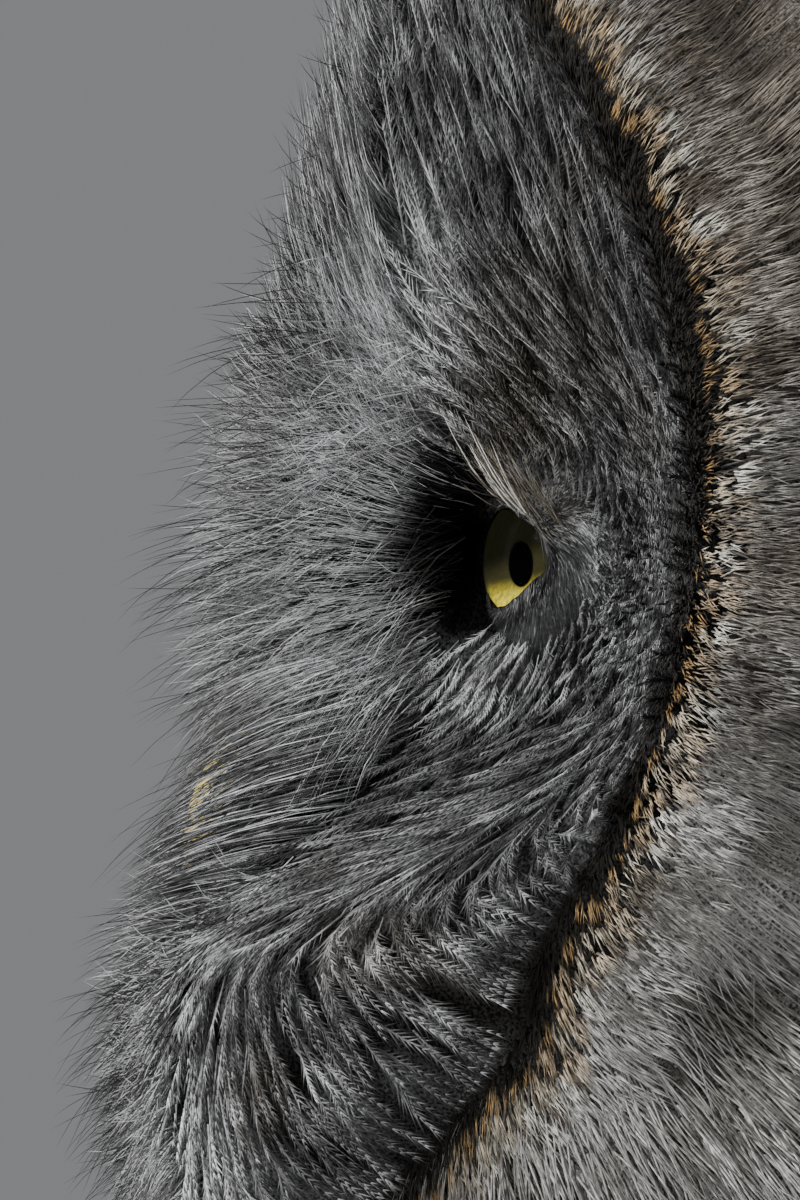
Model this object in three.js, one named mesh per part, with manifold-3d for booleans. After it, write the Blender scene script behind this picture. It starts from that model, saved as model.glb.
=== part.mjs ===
// Great grey owl, life size, standing on the floor with its wings folded.
// Millimetres, +Z up. The bird looks along -Y and its left side is +X.
// Points are first given as x (to its left), f (forwards) and z (up), with the floor at z = 0.
import * as THREE from "three";
import { mergeVertices } from "three/addons/utils/BufferGeometryUtils.js";
import Module from "manifold-3d";

const wasm = await Module();
wasm.setup();

// Driving dimensions
const gap = 0.35; // between neighbouring pieces
const eyeLine = { f: 75, z: 435 }; // where the pupils stand, forwards and up
const eyeSide = 24; // half the distance between the pupils
const discRadius = 80;
const discChin = 13; // how much further the disc reaches at the chin
const discRise = 5; // the disc's centre above the pupils
const headRadius = { side: 86, up: 92, back: 83 };
const headWidestAt = -35; // forwards of the pupils
const footSide = 38;
const footAt = -18;
const ankleHeight = 26;
const tailRoot = { f: -128, z: 164 };
const tailTip = { f: -300, z: 16 };
const throatCut = { f: 22, z: 372 }; // where the head ends and the neck begins
const neckCut = { f: 8, z: 338 }; // where the neck ends and the torso begins
const neckLean = { f: 0.31, z: 0.95 }; // the way that the neck points

const point = (x, f, z) => new THREE.Vector3(x, -f, z);
const mix = (a, b, t) => a + (b - a) * t;
const clamp01 = (t) => Math.min(1, Math.max(0, t));
const smoothstep = (a, b, t) => {
  const s = clamp01((t - a) / (b - a));
  return s * s * (3 - 2 * s);
};
const radians = THREE.MathUtils.degToRad;

// A small seeded generator, so that the feathers vary alike on every run
let seed = 20417;
const random = () => {
  seed = (seed * 1664525 + 1013904223) % 4294967296;
  return seed / 4294967296;
};
const vary = (amount) => 1 + amount * (2 * random() - 1);

// Solids

function solidFrom(geometry) {
  const bare = new THREE.BufferGeometry();
  bare.setAttribute("position", geometry.getAttribute("position"));
  if (geometry.index) bare.setIndex(geometry.index);
  const merged = mergeVertices(bare, 1e-4);
  const corners = merged.index.array;
  const kept = [];
  for (let i = 0; i < corners.length; i += 3) {
    const [a, b, c] = [corners[i], corners[i + 1], corners[i + 2]];
    if (a !== b && b !== c && a !== c) kept.push(a, b, c);
  }
  const build = (triangles) =>
    new wasm.Manifold(
      new wasm.Mesh({
        numProp: 3,
        vertProperties: new Float32Array(merged.attributes.position.array),
        triVerts: new Uint32Array(triangles),
      }),
    );
  const made = build(kept);
  if (made.volume() > 0) return made;
  for (let i = 0; i < kept.length; i += 3) [kept[i + 1], kept[i + 2]] = [kept[i + 2], kept[i + 1]];
  return build(kept);
}

// A closed solid through rings of points, each end closed by a strip that zigzags across it
function loft(rings) {
  const around = rings[0].length;
  const index = [];
  for (let r = 0; r + 1 < rings.length; r++)
    for (let k = 0; k < around; k++) {
      const next = (k + 1) % around;
      const [a, b] = [r * around + k, r * around + next];
      index.push(a, b, b + around, a, b + around, a + around);
    }
  const top = (rings.length - 1) * around;
  for (let k = 0; k + 1 < around - k; k++) {
    const [a, b, c, d] = [k, k + 1, around - 1 - k, (around - k) % around];
    index.push(a, c, b, top + a, top + b, top + c);
    if (k > 0) index.push(a, d, c, top + a, top + c, top + d);
  }
  return solidFrom(new THREE.BufferGeometry().setFromPoints(rings.flat()).setIndex(index));
}

// A thin plate given by its left and right edge points; both faces are split along the same diagonals
function plate(stations) {
  const vertices = [];
  for (const { left, right, normal, thick } of stations) {
    const half = normal.clone().multiplyScalar(thick / 2);
    vertices.push(left.clone().add(half), right.clone().add(half));
    vertices.push(left.clone().sub(half), right.clone().sub(half));
  }
  const index = [];
  const last = stations.length - 1;
  for (let i = 0; i < last; i++) {
    const [a, b] = [4 * i, 4 * i + 4];
    index.push(a, a + 1, b + 1, a, b + 1, b); // upper face
    index.push(a + 2, b + 3, a + 3, a + 2, b + 2, b + 3); // lower face
    index.push(a, b, b + 2, a, b + 2, a + 2); // left edge
    index.push(a + 1, a + 3, b + 3, a + 1, b + 3, b + 1); // right edge
  }
  index.push(0, 2, 3, 0, 3, 1);
  const e = 4 * last;
  index.push(e, e + 1, e + 3, e, e + 3, e + 2);
  return solidFrom(new THREE.BufferGeometry().setFromPoints(vertices).setIndex(index));
}

// A flat, tapered lock that bends from a root to a tip past a point between them
function lock({ root, bend, tip, side, width, thick, widths = [0.8, 1, 0.2] }) {
  const curve = new THREE.QuadraticBezierCurve3(root, bend, tip);
  const last = widths.length - 1;
  return plate(
    widths.map((share, i) => {
      const at = curve.getPoint(i / last);
      const heading = curve.getTangent(i / last);
      const across = side.clone().addScaledVector(heading, -side.dot(heading)).normalize();
      const half = (width / 2) * share;
      return {
        left: at.clone().addScaledVector(across, -half),
        right: at.clone().addScaledVector(across, half),
        normal: new THREE.Vector3().crossVectors(heading, across).normalize(),
        thick: mix(thick, 0.6, i / last),
      };
    }),
  );
}

// Many solids joined into one, pair by pair
function join(solids) {
  let list = [...solids];
  while (list.length > 1) {
    const halved = [];
    for (let i = 0; i < list.length; i += 2)
      halved.push(i + 1 < list.length ? list[i].add(list[i + 1]) : list[i]);
    list = halved;
  }
  return list[0];
}

const bySize = (solid) => solid.decompose().sort((a, b) => b.volume() - a.volume());

// The largest closed body of a solid, without loose scraps or sealed hollows
const slack = 0.05; // how far a face may move when slivers are merged
const largest = (solid) => bySize(solid)[0].asOriginal().simplify(slack);

// A thin flat slab between two halves, with its middle at a point and its normal along a direction
function slab(middle, normal, size) {
  const box = new THREE.BoxGeometry(size, size, gap);
  const turn = new THREE.Quaternion().setFromUnitVectors(point(0, 0, 1), normal.clone().normalize());
  box.applyQuaternion(turn);
  box.translate(middle.x, middle.y, middle.z);
  return solidFrom(box);
}

const material = (color, roughness) => new THREE.MeshStandardMaterial({ color, roughness, metalness: 0 });
const plumage = material(0x6f6a63, 0.9);
const darkPlumage = material(0x5a534b, 0.9);
const facePlumage = material(0x77777a, 0.9);
const flightFeather = material(0x6a5f53, 0.8);
const downyLeg = material(0x8a8378, 0.95);
const horn = material(0xb9a24a, 0.45);
const claw = material(0x1d1a18, 0.35);
const iris = material(0xc9b62c, 0.1);

const owl = new THREE.Group();

function addNode(name, solid, look) {
  const mesh = solid.getMesh();
  const geometry = new THREE.BufferGeometry();
  const stride = mesh.numProp;
  const positions = new Float32Array(mesh.numVert * 3);
  for (let i = 0; i < mesh.numVert; i++)
    positions.set(mesh.vertProperties.subarray(i * stride, i * stride + 3), i * 3);
  geometry.setAttribute("position", new THREE.BufferAttribute(positions, 3));
  geometry.setIndex(new THREE.BufferAttribute(new Uint32Array(mesh.triVerts), 1));
  geometry.computeVertexNormals();
  const node = new THREE.Mesh(geometry, look);
  node.name = name;
  owl.add(node);
}

// Body and neck: oval sections between a front and a back point of the side view

const bodySections = [
  { front: [76, 400], back: [-20, 436], half: 56 },
  { front: [94, 372], back: [-44, 414], half: 76 },
  { front: [101, 346], back: [-62, 396], half: 85 },
  { front: [103, 315], back: [-80, 372], half: 92 },
  { front: [98, 270], back: [-101, 338], half: 101 },
  { front: [84, 225], back: [-122, 298], half: 105 },
  { front: [62, 184], back: [-140, 256], half: 103 },
  { front: [34, 149], back: [-154, 218], half: 95 },
  { front: [2, 123], back: [-163, 186], half: 82 },
  { front: [-36, 107], back: [-168, 158], half: 65 },
  { front: [-76, 98], back: [-174, 140], half: 49 },
  { front: [-112, 88], back: [-184, 122], half: 34 },
  { front: [-141, 77], back: [-190, 105], half: 20 },
];

// The sections that the folded wings follow leave the body at the rump and run on along the tail
const wingSections = [
  ...bodySections.slice(3, 7),
  { front: [32, 148], back: [-160, 216], half: 98 },
  { front: [-18, 112], back: [-180, 178], half: 88 },
  { front: [-72, 84], back: [-203, 143], half: 77 },
  { front: [-128, 56], back: [-228, 110], half: 67 },
  { front: [-178, 28], back: [-252, 80], half: 58 },
  { front: [-222, 4], back: [-276, 50], half: 50 },
];

// A smooth value through the sections at a share t of the way along them
function along(sections, t, pick) {
  const s = clamp01(t) * (sections.length - 1);
  const i = Math.min(Math.floor(s), sections.length - 2);
  const valueAt = (k) => pick(sections[Math.min(sections.length - 1, Math.max(0, k))]);
  const [p, a, b, q] = [i - 1, i, i + 1, i + 2].map(valueAt);
  const u = s - i;
  return a + 0.5 * u * (b - p + u * (2 * p - 5 * a + 4 * b - q + u * (3 * (a - b) + q - p)));
}

// A point on the oval at share t, turned by angle from the front over the left side, grown outwards
function onSections(sections, t, angle, grown) {
  const value = (pick) => along(sections, t, pick);
  const front = new THREE.Vector2(value((s) => s.front[0]), value((s) => s.front[1]));
  const back = new THREE.Vector2(value((s) => s.back[0]), value((s) => s.back[1]));
  const half = value((s) => s.half) + grown;
  const middle = front.clone().add(back).multiplyScalar(0.5);
  const reach = front.clone().sub(back).multiplyScalar(0.5);
  reach.setLength(reach.length() + grown).multiplyScalar(Math.cos(angle));
  return point(half * Math.sin(angle), middle.x + reach.x, middle.y + reach.y);
}

function bodySolid(grown) {
  const [around, rows] = [28, 15];
  const ring = (t) =>
    Array.from({ length: around }, (_, k) => onSections(bodySections, t, (2 * Math.PI * k) / around, grown));
  const rings = Array.from({ length: rows + 1 }, (_, r) => ring(r / rows));
  const rumpward = point(0, -0.5 * grown, -0.87 * grown); // square to the flat end at the rump
  rings[rows].forEach((p) => p.add(rumpward));
  return loft(rings);
}

// Head: a facial disc in front of a deep, rounded back of the head

// How far forwards the plumage reaches along the middle of the face, from below the chin to the crown,
// and how far the tips of the bristles and of the chin's long barbs reach before it
const faceMiddle = [
  { up: -88, out: 36, tips: 44 },
  { up: -76, out: 41, tips: 50 },
  { up: -62, out: 43.5, tips: 51.5 },
  { up: -48, out: 42, tips: 51 },
  { up: -36, out: 35, tips: 48 },
  { up: -24, out: 28, tips: 42 },
  { up: -8, out: 30, tips: 44.5 },
  { up: 10, out: 30.5, tips: 41 },
  { up: 26, out: 28.5, tips: 36.5 },
  { up: 44, out: 24, tips: 27 },
  { up: 64, out: 19, tips: 21.5 },
  { up: 85, out: 12.5, tips: 13 },
];

function middleReach(up, what = "out") {
  const last = faceMiddle.length - 1;
  const within = Math.min(faceMiddle[last].up - 1e-6, Math.max(faceMiddle[0].up, up));
  const i = faceMiddle.findIndex((s) => s.up > within) - 1;
  const share = (within - faceMiddle[i].up) / (faceMiddle[i + 1].up - faceMiddle[i].up);
  return along(faceMiddle, (i + share) / last, (s) => s[what]);
}

const rimRadius = (angle) => discRadius + discChin * Math.max(0, -Math.cos(angle)) ** 2;
const rimReach = (up) => -18.4 + 0.0056 * (up - 8) ** 2; // the rim sweeps back at the cheeks

// How far forwards the face stands at x, up: a ridge down the middle, hollows for the eyes, a full chin
function faceReach(x, up) {
  const narrowest = 6;
  const angle = Math.atan2(Math.abs(x), up - discRise);
  const radius = rimRadius(angle);
  const share = clamp01(Math.hypot(x, up - discRise) / radius);
  const rimUp = discRise + radius * Math.cos(angle);
  const halfWidth = Math.sqrt(Math.max(narrowest ** 2, radius ** 2 - (up - discRise) ** 2));
  const t = clamp01(Math.abs(x) / halfWidth);
  const chin = smoothstep(-16, -48, up);
  const brow = smoothstep(10, 44, up);
  const shape =
    chin * Math.sqrt(Math.max(0, 1 - t * t)) ** 1.3 +
    (1 - chin) * brow * (0.45 * (1 - t) + 0.55 * Math.exp(-((t / 0.36) ** 2))) +
    (1 - chin) * (1 - brow) * (0.22 * (1 - t) + 0.78 * Math.exp(-((t / 0.25) ** 2)));
  const rim = mix(rimReach(up), rimReach(rimUp), share);
  return rim + (middleReach(up) - rim) * shape;
}

const headPoint = (x, up, out) => point(x, eyeLine.f + out, eyeLine.z + up);

function headSolid() {
  const around = 44;
  const rings = [];
  const discShares = [0.06, 0.14, 0.22, 0.31, 0.41, 0.52, 0.66, 0.83, 1];
  for (const share of discShares)
    rings.push(
      Array.from({ length: around }, (_, k) => {
        const angle = (2 * Math.PI * k) / around;
        const x = share * rimRadius(angle) * Math.sin(angle);
        const up = discRise + share * rimRadius(angle) * Math.cos(angle);
        return headPoint(x, up, faceReach(x, up));
      }),
    );
  const turns = [-26, 0, 22, 42, 60, 75, 86];
  for (const turn of turns) {
    const back = Math.sin(radians(Math.max(0, turn)));
    const round = Math.cos(radians(turn));
    rings.push(
      Array.from({ length: around }, (_, k) => {
        const angle = (2 * Math.PI * k) / around;
        const wide = mix(headRadius.side, headRadius.up, Math.cos(angle) ** 2);
        const rimUp = discRise + rimRadius(angle) * Math.cos(angle);
        const start = rimReach(rimUp);
        const widest = headWidestAt;
        const out = turn < 0 ? mix(start, widest, 1 - turn / -40) : widest - headRadius.back * back;
        const radius = turn < 0 ? mix(rimRadius(angle) + 1, wide, 1 - turn / -40) : wide * round;
        return headPoint(radius * Math.sin(angle), discRise + radius * Math.cos(angle), out);
      }),
    );
  }
  return loft(rings);
}

// Ruff: short overlapping vanes that lie back over the sides of the head from the disc's rim

function ruffVanes() {
  const count = 32;
  const vanes = [];
  for (let k = 0; k < count; k++) {
    const angle = (2 * Math.PI * (k + 0.5)) / count;
    const rimUp = discRise + rimRadius(angle) * Math.cos(angle);
    if (rimUp < -68) continue;
    const at = (out, grown) => {
      const radius = rimRadius(angle) + grown;
      return headPoint(radius * Math.sin(angle), discRise + radius * Math.cos(angle), rimReach(rimUp) + out);
    };
    vanes.push(
      lock({
        root: at(0.5, -7),
        bend: at(-1.5, 3.2),
        tip: at(-13.5, mix(7.5, 9.2, Math.cos(angle) ** 2)).add(point(0, 0, 1.2 * (random() - 0.5))),
        side: point(Math.cos(angle), 0.12, -Math.sin(angle)),
        width: 20.5 * vary(0.08),
        thick: 1.5,
        widths: [0.8, 1, 0.62],
      }),
    );
  }
  return vanes;
}

// Bristles of the face: flat, tapered locks that fan forwards from beside the bill, and the chin's barbs

function bristleLocks() {
  const locks = [];
  const rows = [
    { count: 7, from: 36, to: -20, x: 3.5, spread: 1, reach: 1, width: 10.5, rise: [9, -7] },
    { count: 5, from: 29, to: -12, x: 9.5, spread: 5, reach: 0.55, width: 11, rise: [8, -7] },
    { count: 5, from: -40, to: -78, x: 4, spread: 2, reach: 1, width: 13, rise: [-3, -4] },
    { count: 4, from: -44, to: -77, x: 15, spread: 6, reach: 0.62, width: 15, rise: [-3, -5] },
  ];
  for (const row of rows)
    for (const hand of [1, -1])
      for (let k = 0; k < row.count; k++) {
        const share = k / (row.count - 1);
        const up = mix(row.from, row.to, share);
        const x = hand * row.x * vary(0.2);
        const rise = mix(row.rise[0], row.rise[1], share) + 1.5 * (random() - 0.5);
        const surface = faceReach(x, up);
        const beyond = row.reach * (middleReach(up + rise, "tips") - middleReach(up));
        const tipReach = surface + beyond * vary(0.06);
        locks.push(
          lock({
            root: headPoint(x, up - 0.3 * rise, surface - 6),
            bend: headPoint(x, up + 0.2 * rise, mix(surface, tipReach, 0.6)),
            tip: headPoint(x + hand * row.spread, up + rise, tipReach),
            side: point(hand * 0.45, 0, 1),
            width: row.width * vary(0.1),
            thick: 2,
            widths: [0.9, 1, 0.22],
          }),
        );
      }
  return locks;
}

// Eyes: a ball with a clear bulge in front, turned outwards from straight ahead

const eyeTurn = 32;
const eyeBall = { radius: 8.6, bulge: 6.9, bulgeAt: 3.6, irisAt: 6.4 };

function eyeSolid(hand, grown) {
  const outline = [];
  const arc = (radius, middle, from, to, steps) => {
    for (let i = 0; i <= steps; i++) {
      const a = mix(from, to, i / steps);
      outline.push(new THREE.Vector2(radius * Math.sin(a), middle + radius * Math.cos(a)));
    }
  };
  const [ballEnds, bulgeStarts] = [0.84, 1.05]; // radians from the axis, where the ball meets the bulge
  arc(eyeBall.radius + grown, 0, Math.PI, ballEnds, 5);
  arc(eyeBall.bulge + grown, eyeBall.bulgeAt, bulgeStarts, 0, 3);
  outline[0].x = 0;
  outline[outline.length - 1].x = 0;
  const ball = new THREE.LatheGeometry(outline, 16);
  ball.rotateX(Math.PI / 2); // the axis from +Y to +Z
  ball.rotateX(Math.PI / 2); // and on to -Y, straight ahead
  ball.rotateZ(hand * radians(eyeTurn));
  const axis = point(hand * Math.sin(radians(eyeTurn)), Math.cos(radians(eyeTurn)), 0);
  const middle = headPoint(hand * eyeSide, 0, 0).addScaledVector(axis, -eyeBall.irisAt);
  ball.translate(middle.x, middle.y, middle.z);
  return solidFrom(ball);
}

// Lids: an upper and a lower fold, thickest over the eye, that meet in front of and behind it

function lidRing(hand) {
  const [around, section] = [14, 5];
  const turn = radians(eyeTurn);
  const axis = point(hand * Math.sin(turn), Math.cos(turn), 0);
  const outwards = point(hand * Math.cos(turn), -Math.sin(turn), 0);
  const upwards = point(0, 0, 1);
  const middle = headPoint(hand * eyeSide, 0, 0).addScaledVector(axis, -1.2);
  const rings = [];
  for (let k = 0; k < around; k++) {
    const angle = (2 * Math.PI * k) / around;
    const radial = outwards.clone().multiplyScalar(Math.cos(angle)).addScaledVector(upwards, Math.sin(angle));
    const heavy = 1.9 + 0.9 * Math.max(0, Math.sin(angle)) ** 2;
    const centre = middle.clone().addScaledVector(radial, 7.6);
    rings.push(
      Array.from({ length: section }, (_, j) => {
        const b = (2 * Math.PI * j) / section;
        return centre
          .clone()
          .addScaledVector(radial, heavy * Math.cos(b))
          .addScaledVector(axis, (heavy + 1.4) * Math.sin(b));
      }),
    );
  }
  const vertices = rings.flat();
  const index = [];
  for (let r = 0; r < around; r++)
    for (let j = 0; j < section; j++) {
      const [a, b] = [r * section + j, r * section + ((j + 1) % section)];
      const [c, d] = [((r + 1) % around) * section + j, ((r + 1) % around) * section + ((j + 1) % section)];
      index.push(a, b, d, a, d, c);
    }
  return solidFrom(new THREE.BufferGeometry().setFromPoints(vertices).setIndex(index));
}

// Bill: two hooked halves, the upper one closing over the lower one along the line of the mouth

const billRoot = { out: 14, up: -17 };

// One half of the bill: sections along an arc that starts forwards and turns down
function billHalf({ length, startSlope, endSlope, high, wide, under, grown, tipShare }) {
  const [around, rows] = [10, 7];
  const rings = [];
  let [out, up] = [billRoot.out, billRoot.up + under];
  for (let r = 0; r <= rows; r++) {
    const t = r / rows;
    const slope = mix(startSlope, endSlope, t ** 1.4);
    const beyond = r === 0 ? -grown : r === rows ? grown : 0; // the flat ends grow too
    if (r > 0) {
      out += (length / rows) * Math.cos(slope);
      up += (length / rows) * Math.sin(slope);
    }
    const taper = Math.max(tipShare, (1 - t ** 1.9) ** 0.8);
    rings.push(
      Array.from({ length: around }, (_, k) => {
        const a = (2 * Math.PI * k) / around;
        const x = (wide * taper + grown) * Math.sin(a);
        const n = (high * taper + grown) * Math.cos(a);
        const [c, s] = [Math.cos(slope), Math.sin(slope)];
        return headPoint(x, up + n * c + beyond * s, out - n * s + beyond * c);
      }),
    );
  }
  return loft(rings);
}

const upperBill = (grown) =>
  billHalf({
    length: 38,
    startSlope: -0.12,
    endSlope: -1.75,
    high: 6.4,
    wide: 6.2,
    under: 0,
    grown,
    tipShare: 0.1,
  });
const lowerBill = (grown) =>
  billHalf({
    length: 25,
    startSlope: -0.42,
    endSlope: -0.95,
    high: 4.2,
    wide: 5.2,
    under: -8.5,
    grown,
    tipShare: 0.16,
  });

function nostril(hand) {
  const pit = new THREE.SphereGeometry(1.5, 10, 6);
  const at = headPoint(hand * 5.9, -15.4, 24);
  pit.scale(0.8, 1.5, 0.9);
  pit.translate(at.x, at.y, at.z);
  return solidFrom(pit);
}

// Legs and feet: feathered shanks, four toes to a foot, each with a curved claw

const legSections = [
  { x: 46, f: -30, z: 152, wide: 33, deep: 46 },
  { x: 44, f: -27, z: 122, wide: 32, deep: 43 },
  { x: 41, f: -23, z: 92, wide: 27.5, deep: 35 },
  { x: 39, f: -20, z: 64, wide: 22.5, deep: 27 },
  { x: 38, f: -18, z: 40, wide: 18, deep: 21 },
  { x: 38, f: -18, z: 22, wide: 15.5, deep: 17.5 },
  { x: 38, f: -18, z: 9, wide: 14, deep: 15.5 },
];

function legSolid(hand) {
  const around = 14;
  return loft(
    legSections.map(({ x, f, z, wide, deep }) =>
      Array.from({ length: around }, (_, k) => {
        const a = (2 * Math.PI * k) / around;
        return point(hand * x + wide * Math.cos(a), f + deep * Math.sin(a), z);
      }),
    ),
  );
}

const toes = [
  { name: "inner", turn: -24, length: 38, thick: 9 },
  { name: "middle", turn: 6, length: 42, thick: 9.2 },
  { name: "outer", turn: 78, length: 36, thick: 8.8 },
  { name: "hind", turn: 190, length: 27, thick: 8.2 },
];
const instep = 13; // height of the toes' roots under the shank
const clawLength = 23;
const clawShows = 1.2; // how far beyond the toe's end the claw comes out of its feathers
const clawRoot = { buried: 5, radius: 3.1, slope: 0.42 };
const clawCurl = { radius: 0.45, turn: 0.27 }; // tip radius, and how much each step turns down

function toeSolid(heading, ankle, toe) {
  const [around, rows] = [8, 4];
  const rings = [];
  for (let r = 0; r <= rows; r++) {
    const t = r / rows;
    const radius = toe.thick * (r === rows ? 0.62 : mix(1.15, 0.86, t)); // a rounded end
    const at = ankle.clone().addScaledVector(heading, toe.length * t);
    at.z = mix(instep, toe.thick * 0.72, smoothstep(0, 0.6, t));
    const across = new THREE.Vector3(-heading.y, heading.x, 0);
    rings.push(
      Array.from({ length: around }, (_, k) => {
        const a = (2 * Math.PI * k) / around;
        const p = at.clone().addScaledVector(across, radius * Math.cos(a));
        p.z += radius * Math.sin(a);
        return p;
      }),
    );
  }
  return loft(rings);
}

function clawSolid(heading, ankle, toe) {
  const [around, rows] = [6, 6];
  const rings = [];
  const at = ankle.clone().addScaledVector(heading, toe.length - clawRoot.buried);
  at.z = toe.thick * 0.95;
  const across = new THREE.Vector3(-heading.y, heading.x, 0);
  for (let r = 0; r <= rows; r++) {
    const slope = clawRoot.slope - clawCurl.turn * r;
    const ahead = heading.clone().multiplyScalar(Math.cos(slope));
    ahead.z = Math.sin(slope);
    if (r > 0) at.addScaledVector(ahead, (clawLength + clawRoot.buried) / rows);
    const radius = mix(clawRoot.radius, clawCurl.radius, (r / rows) ** 1.1);
    const upwards = new THREE.Vector3().crossVectors(across, ahead).negate().normalize();
    rings.push(
      Array.from({ length: around }, (_, k) => {
        const a = (2 * Math.PI * k) / around;
        return at
          .clone()
          .addScaledVector(across, 0.85 * radius * Math.cos(a))
          .addScaledVector(upwards, radius * Math.sin(a));
      }),
    );
  }
  return loft(rings);
}

// Wings: tiers of overlapping vanes over a thin arm, laid along the wing sections

const wingPoint = (hand, t, angle, height) => {
  const p = onSections(wingSections, t, radians(angle), height);
  p.x *= hand;
  return p;
};

const vaneRoot = 0.9; // thickness of a wing or tail feather at its root and at its tip
const vaneTip = 0.6;

// One vane whose root and tip are given as shares along the wing and degrees round it
function wingVane(hand, { from, to, width, lift }) {
  const shares = [0, 0.4, 0.84, 1];
  const widths = [0.6, 1, 0.88, 0.4];
  const stations = shares.map((s, i) => {
    const t = mix(from.t, to.t, s);
    const angle = mix(from.angle, to.angle, s);
    const height = mix(from.height, to.height, s);
    const middle = wingPoint(hand, t, angle, height);
    const ahead = wingPoint(hand, t + 0.01, angle, height).sub(wingPoint(hand, t - 0.01, angle, height));
    const round = wingPoint(hand, t, angle + 1, height).sub(wingPoint(hand, t, angle - 1, height));
    round.normalize();
    const normal = new THREE.Vector3().crossVectors(round, ahead).setLength(hand);
    const half = (width / 2) * widths[i];
    return {
      left: middle.clone().addScaledVector(round, -half),
      right: middle.clone().addScaledVector(round, half).addScaledVector(normal, lift * widths[i]),
      normal,
      thick: mix(vaneRoot, vaneTip, s),
    };
  });
  return plate(stations);
}

// Tiers of a folded wing, from the longest feathers outwards to the shoulder's: where the first and the
// last root and tip lie, as shares along the wing and degrees round it, and how high roots and tips stand
const wingTiers = [
  {
    count: 7, // primaries
    from: [{ t: 0.3, angle: 90 }, { t: 0.34, angle: 108 }],
    to: [{ t: 0.8, angle: 78 }, { t: 0.95, angle: 120 }],
    height: [1, 0.5],
    width: 25,
    lift: 5,
  },
  {
    count: 7, // secondaries
    from: [{ t: 0.22, angle: 98 }, { t: 0.26, angle: 148 }],
    to: [{ t: 0.74, angle: 104 }, { t: 0.66, angle: 161 }],
    height: [3, 6],
    width: 33,
    lift: 3.2,
  },
  {
    count: 8, // greater coverts
    from: [{ t: 0.14, angle: 84 }, { t: 0.16, angle: 150 }],
    to: [{ t: 0.47, angle: 85 }, { t: 0.44, angle: 160 }],
    height: [5, 9.5],
    width: 31,
    lift: 3,
  },
  {
    count: 7, // shoulder
    from: [{ t: 0.03, angle: 84 }, { t: 0.03, angle: 150 }],
    to: [{ t: 0.29, angle: 86 }, { t: 0.31, angle: 157 }],
    height: [7, 13],
    width: 34,
    lift: 3,
  },
];

const tipScatter = 0.008; // share of the wing that a tip may lie off its row

function tierVanes(hand, { count, from, to, height, width, lift }) {
  return Array.from({ length: count }, (_, k) => {
    const q = k / (count - 1);
    const place = (ends, height) => ({
      t: mix(ends[0].t, ends[1].t, q),
      angle: mix(ends[0].angle, ends[1].angle, q),
      height,
    });
    const tip = place(to, height[1]);
    tip.t += tipScatter * (2 * random() - 1);
    return wingVane(hand, { from: place(from, height[0]), to: tip, width, lift });
  });
}

// The arm that carries the tiers: a lens over the side of the body, widest at its middle
const arm = { end: 0.46, low: [92, 82], high: [130, 156], height: 3.2, thick: 5.4 };

function wingArm(hand) {
  const [around, rows] = [14, 10];
  const rings = [];
  for (let r = 0; r <= rows; r++) {
    const t = (arm.end * r) / rows;
    const fullness = Math.sin(Math.PI * mix(0.1, 0.93, r / rows)) ** 0.6;
    const [low, high] = [mix(...arm.low, fullness), mix(...arm.high, fullness)];
    rings.push(
      Array.from({ length: around }, (_, k) => {
        const a = (2 * Math.PI * k) / around;
        const angle = mix(low, high, 0.5 - 0.5 * Math.cos(a));
        return wingPoint(hand, t, angle, arm.height + arm.thick * fullness * Math.sin(a));
      }),
    );
  }
  return loft(rings);
}

// Tail: twelve broad feathers over one another, with shorter coverts above and below their roots

const tailFall = new THREE.Vector2(tailTip.f - tailRoot.f, tailTip.z - tailRoot.z);
const tailHeading = tailFall.clone().normalize();

// A point of the tail: how far along it from its root, how far below its upper face, how far aside
const tailPoint = (x, reach, drop) =>
  point(
    x,
    tailRoot.f + tailHeading.x * reach - tailHeading.y * drop,
    tailRoot.z + tailHeading.y * reach + tailHeading.x * drop,
  );

function tailVane({ length, width, drift, drop, droop }) {
  const shares = [0, 0.45, 0.9, 1];
  const widths = [0.6, 1, 0.9, 0.5];
  const edgeFall = 0.09; // how far the outer edge hangs, per millimetre of width
  return plate(
    shares.map((s, i) => {
      const reach = length * s;
      const below = drop + droop * Math.sin(Math.PI * s);
      const x = drift * mix(0.35, 1, s);
      const half = (width / 2) * widths[i];
      const fall = edgeFall * Math.sign(drift) * half;
      return {
        left: tailPoint(x - half, reach, below).add(point(0, 0, fall)),
        right: tailPoint(x + half, reach, below).add(point(0, 0, -fall)),
        normal: point(0, tailHeading.y, tailHeading.x),
        thick: mix(vaneRoot, vaneTip, s),
      };
    }),
  );
}

const tailPairs = 6;
const tailFeather = { width: 38, shorter: 3.2, inner: 6, apart: 3.9, under: 1.3 };
const tailCoverts = [
  { length: 128, drop: -3, step: -1.4, droop: -3 }, // above
  { length: 134, drop: 19, step: 1.4, droop: 3 }, // below
];
const covertCount = 4;
const covertWidth = 27;
const covertSpread = 20; // how far aside the outermost reach

function tailVanes() {
  const vanes = [];
  for (let i = 0; i < tailPairs; i++)
    for (const hand of [1, -1])
      vanes.push(
        tailVane({
          length: tailFall.length() - tailFeather.shorter * i,
          width: tailFeather.width,
          drift: hand * (tailFeather.inner + tailFeather.apart * i),
          drop: tailFeather.under * (2 * i + (hand > 0 ? 0 : 1)),
          droop: 0,
        }),
      );
  for (const { length, drop, step, droop } of tailCoverts)
    for (let k = 0; k < covertCount; k++)
      vanes.push(
        tailVane({
          length: length * vary(0.06),
          width: covertWidth,
          drift: mix(-covertSpread, covertSpread, k / (covertCount - 1)),
          drop: drop + step * k,
          droop,
        }),
      );
  return vanes;
}

// The stub that the tail feathers grow from, and that shows between their roots and the rump
const stub = { first: 24, last: 118, below: 9, deep: 21, wide: 36 };

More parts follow.
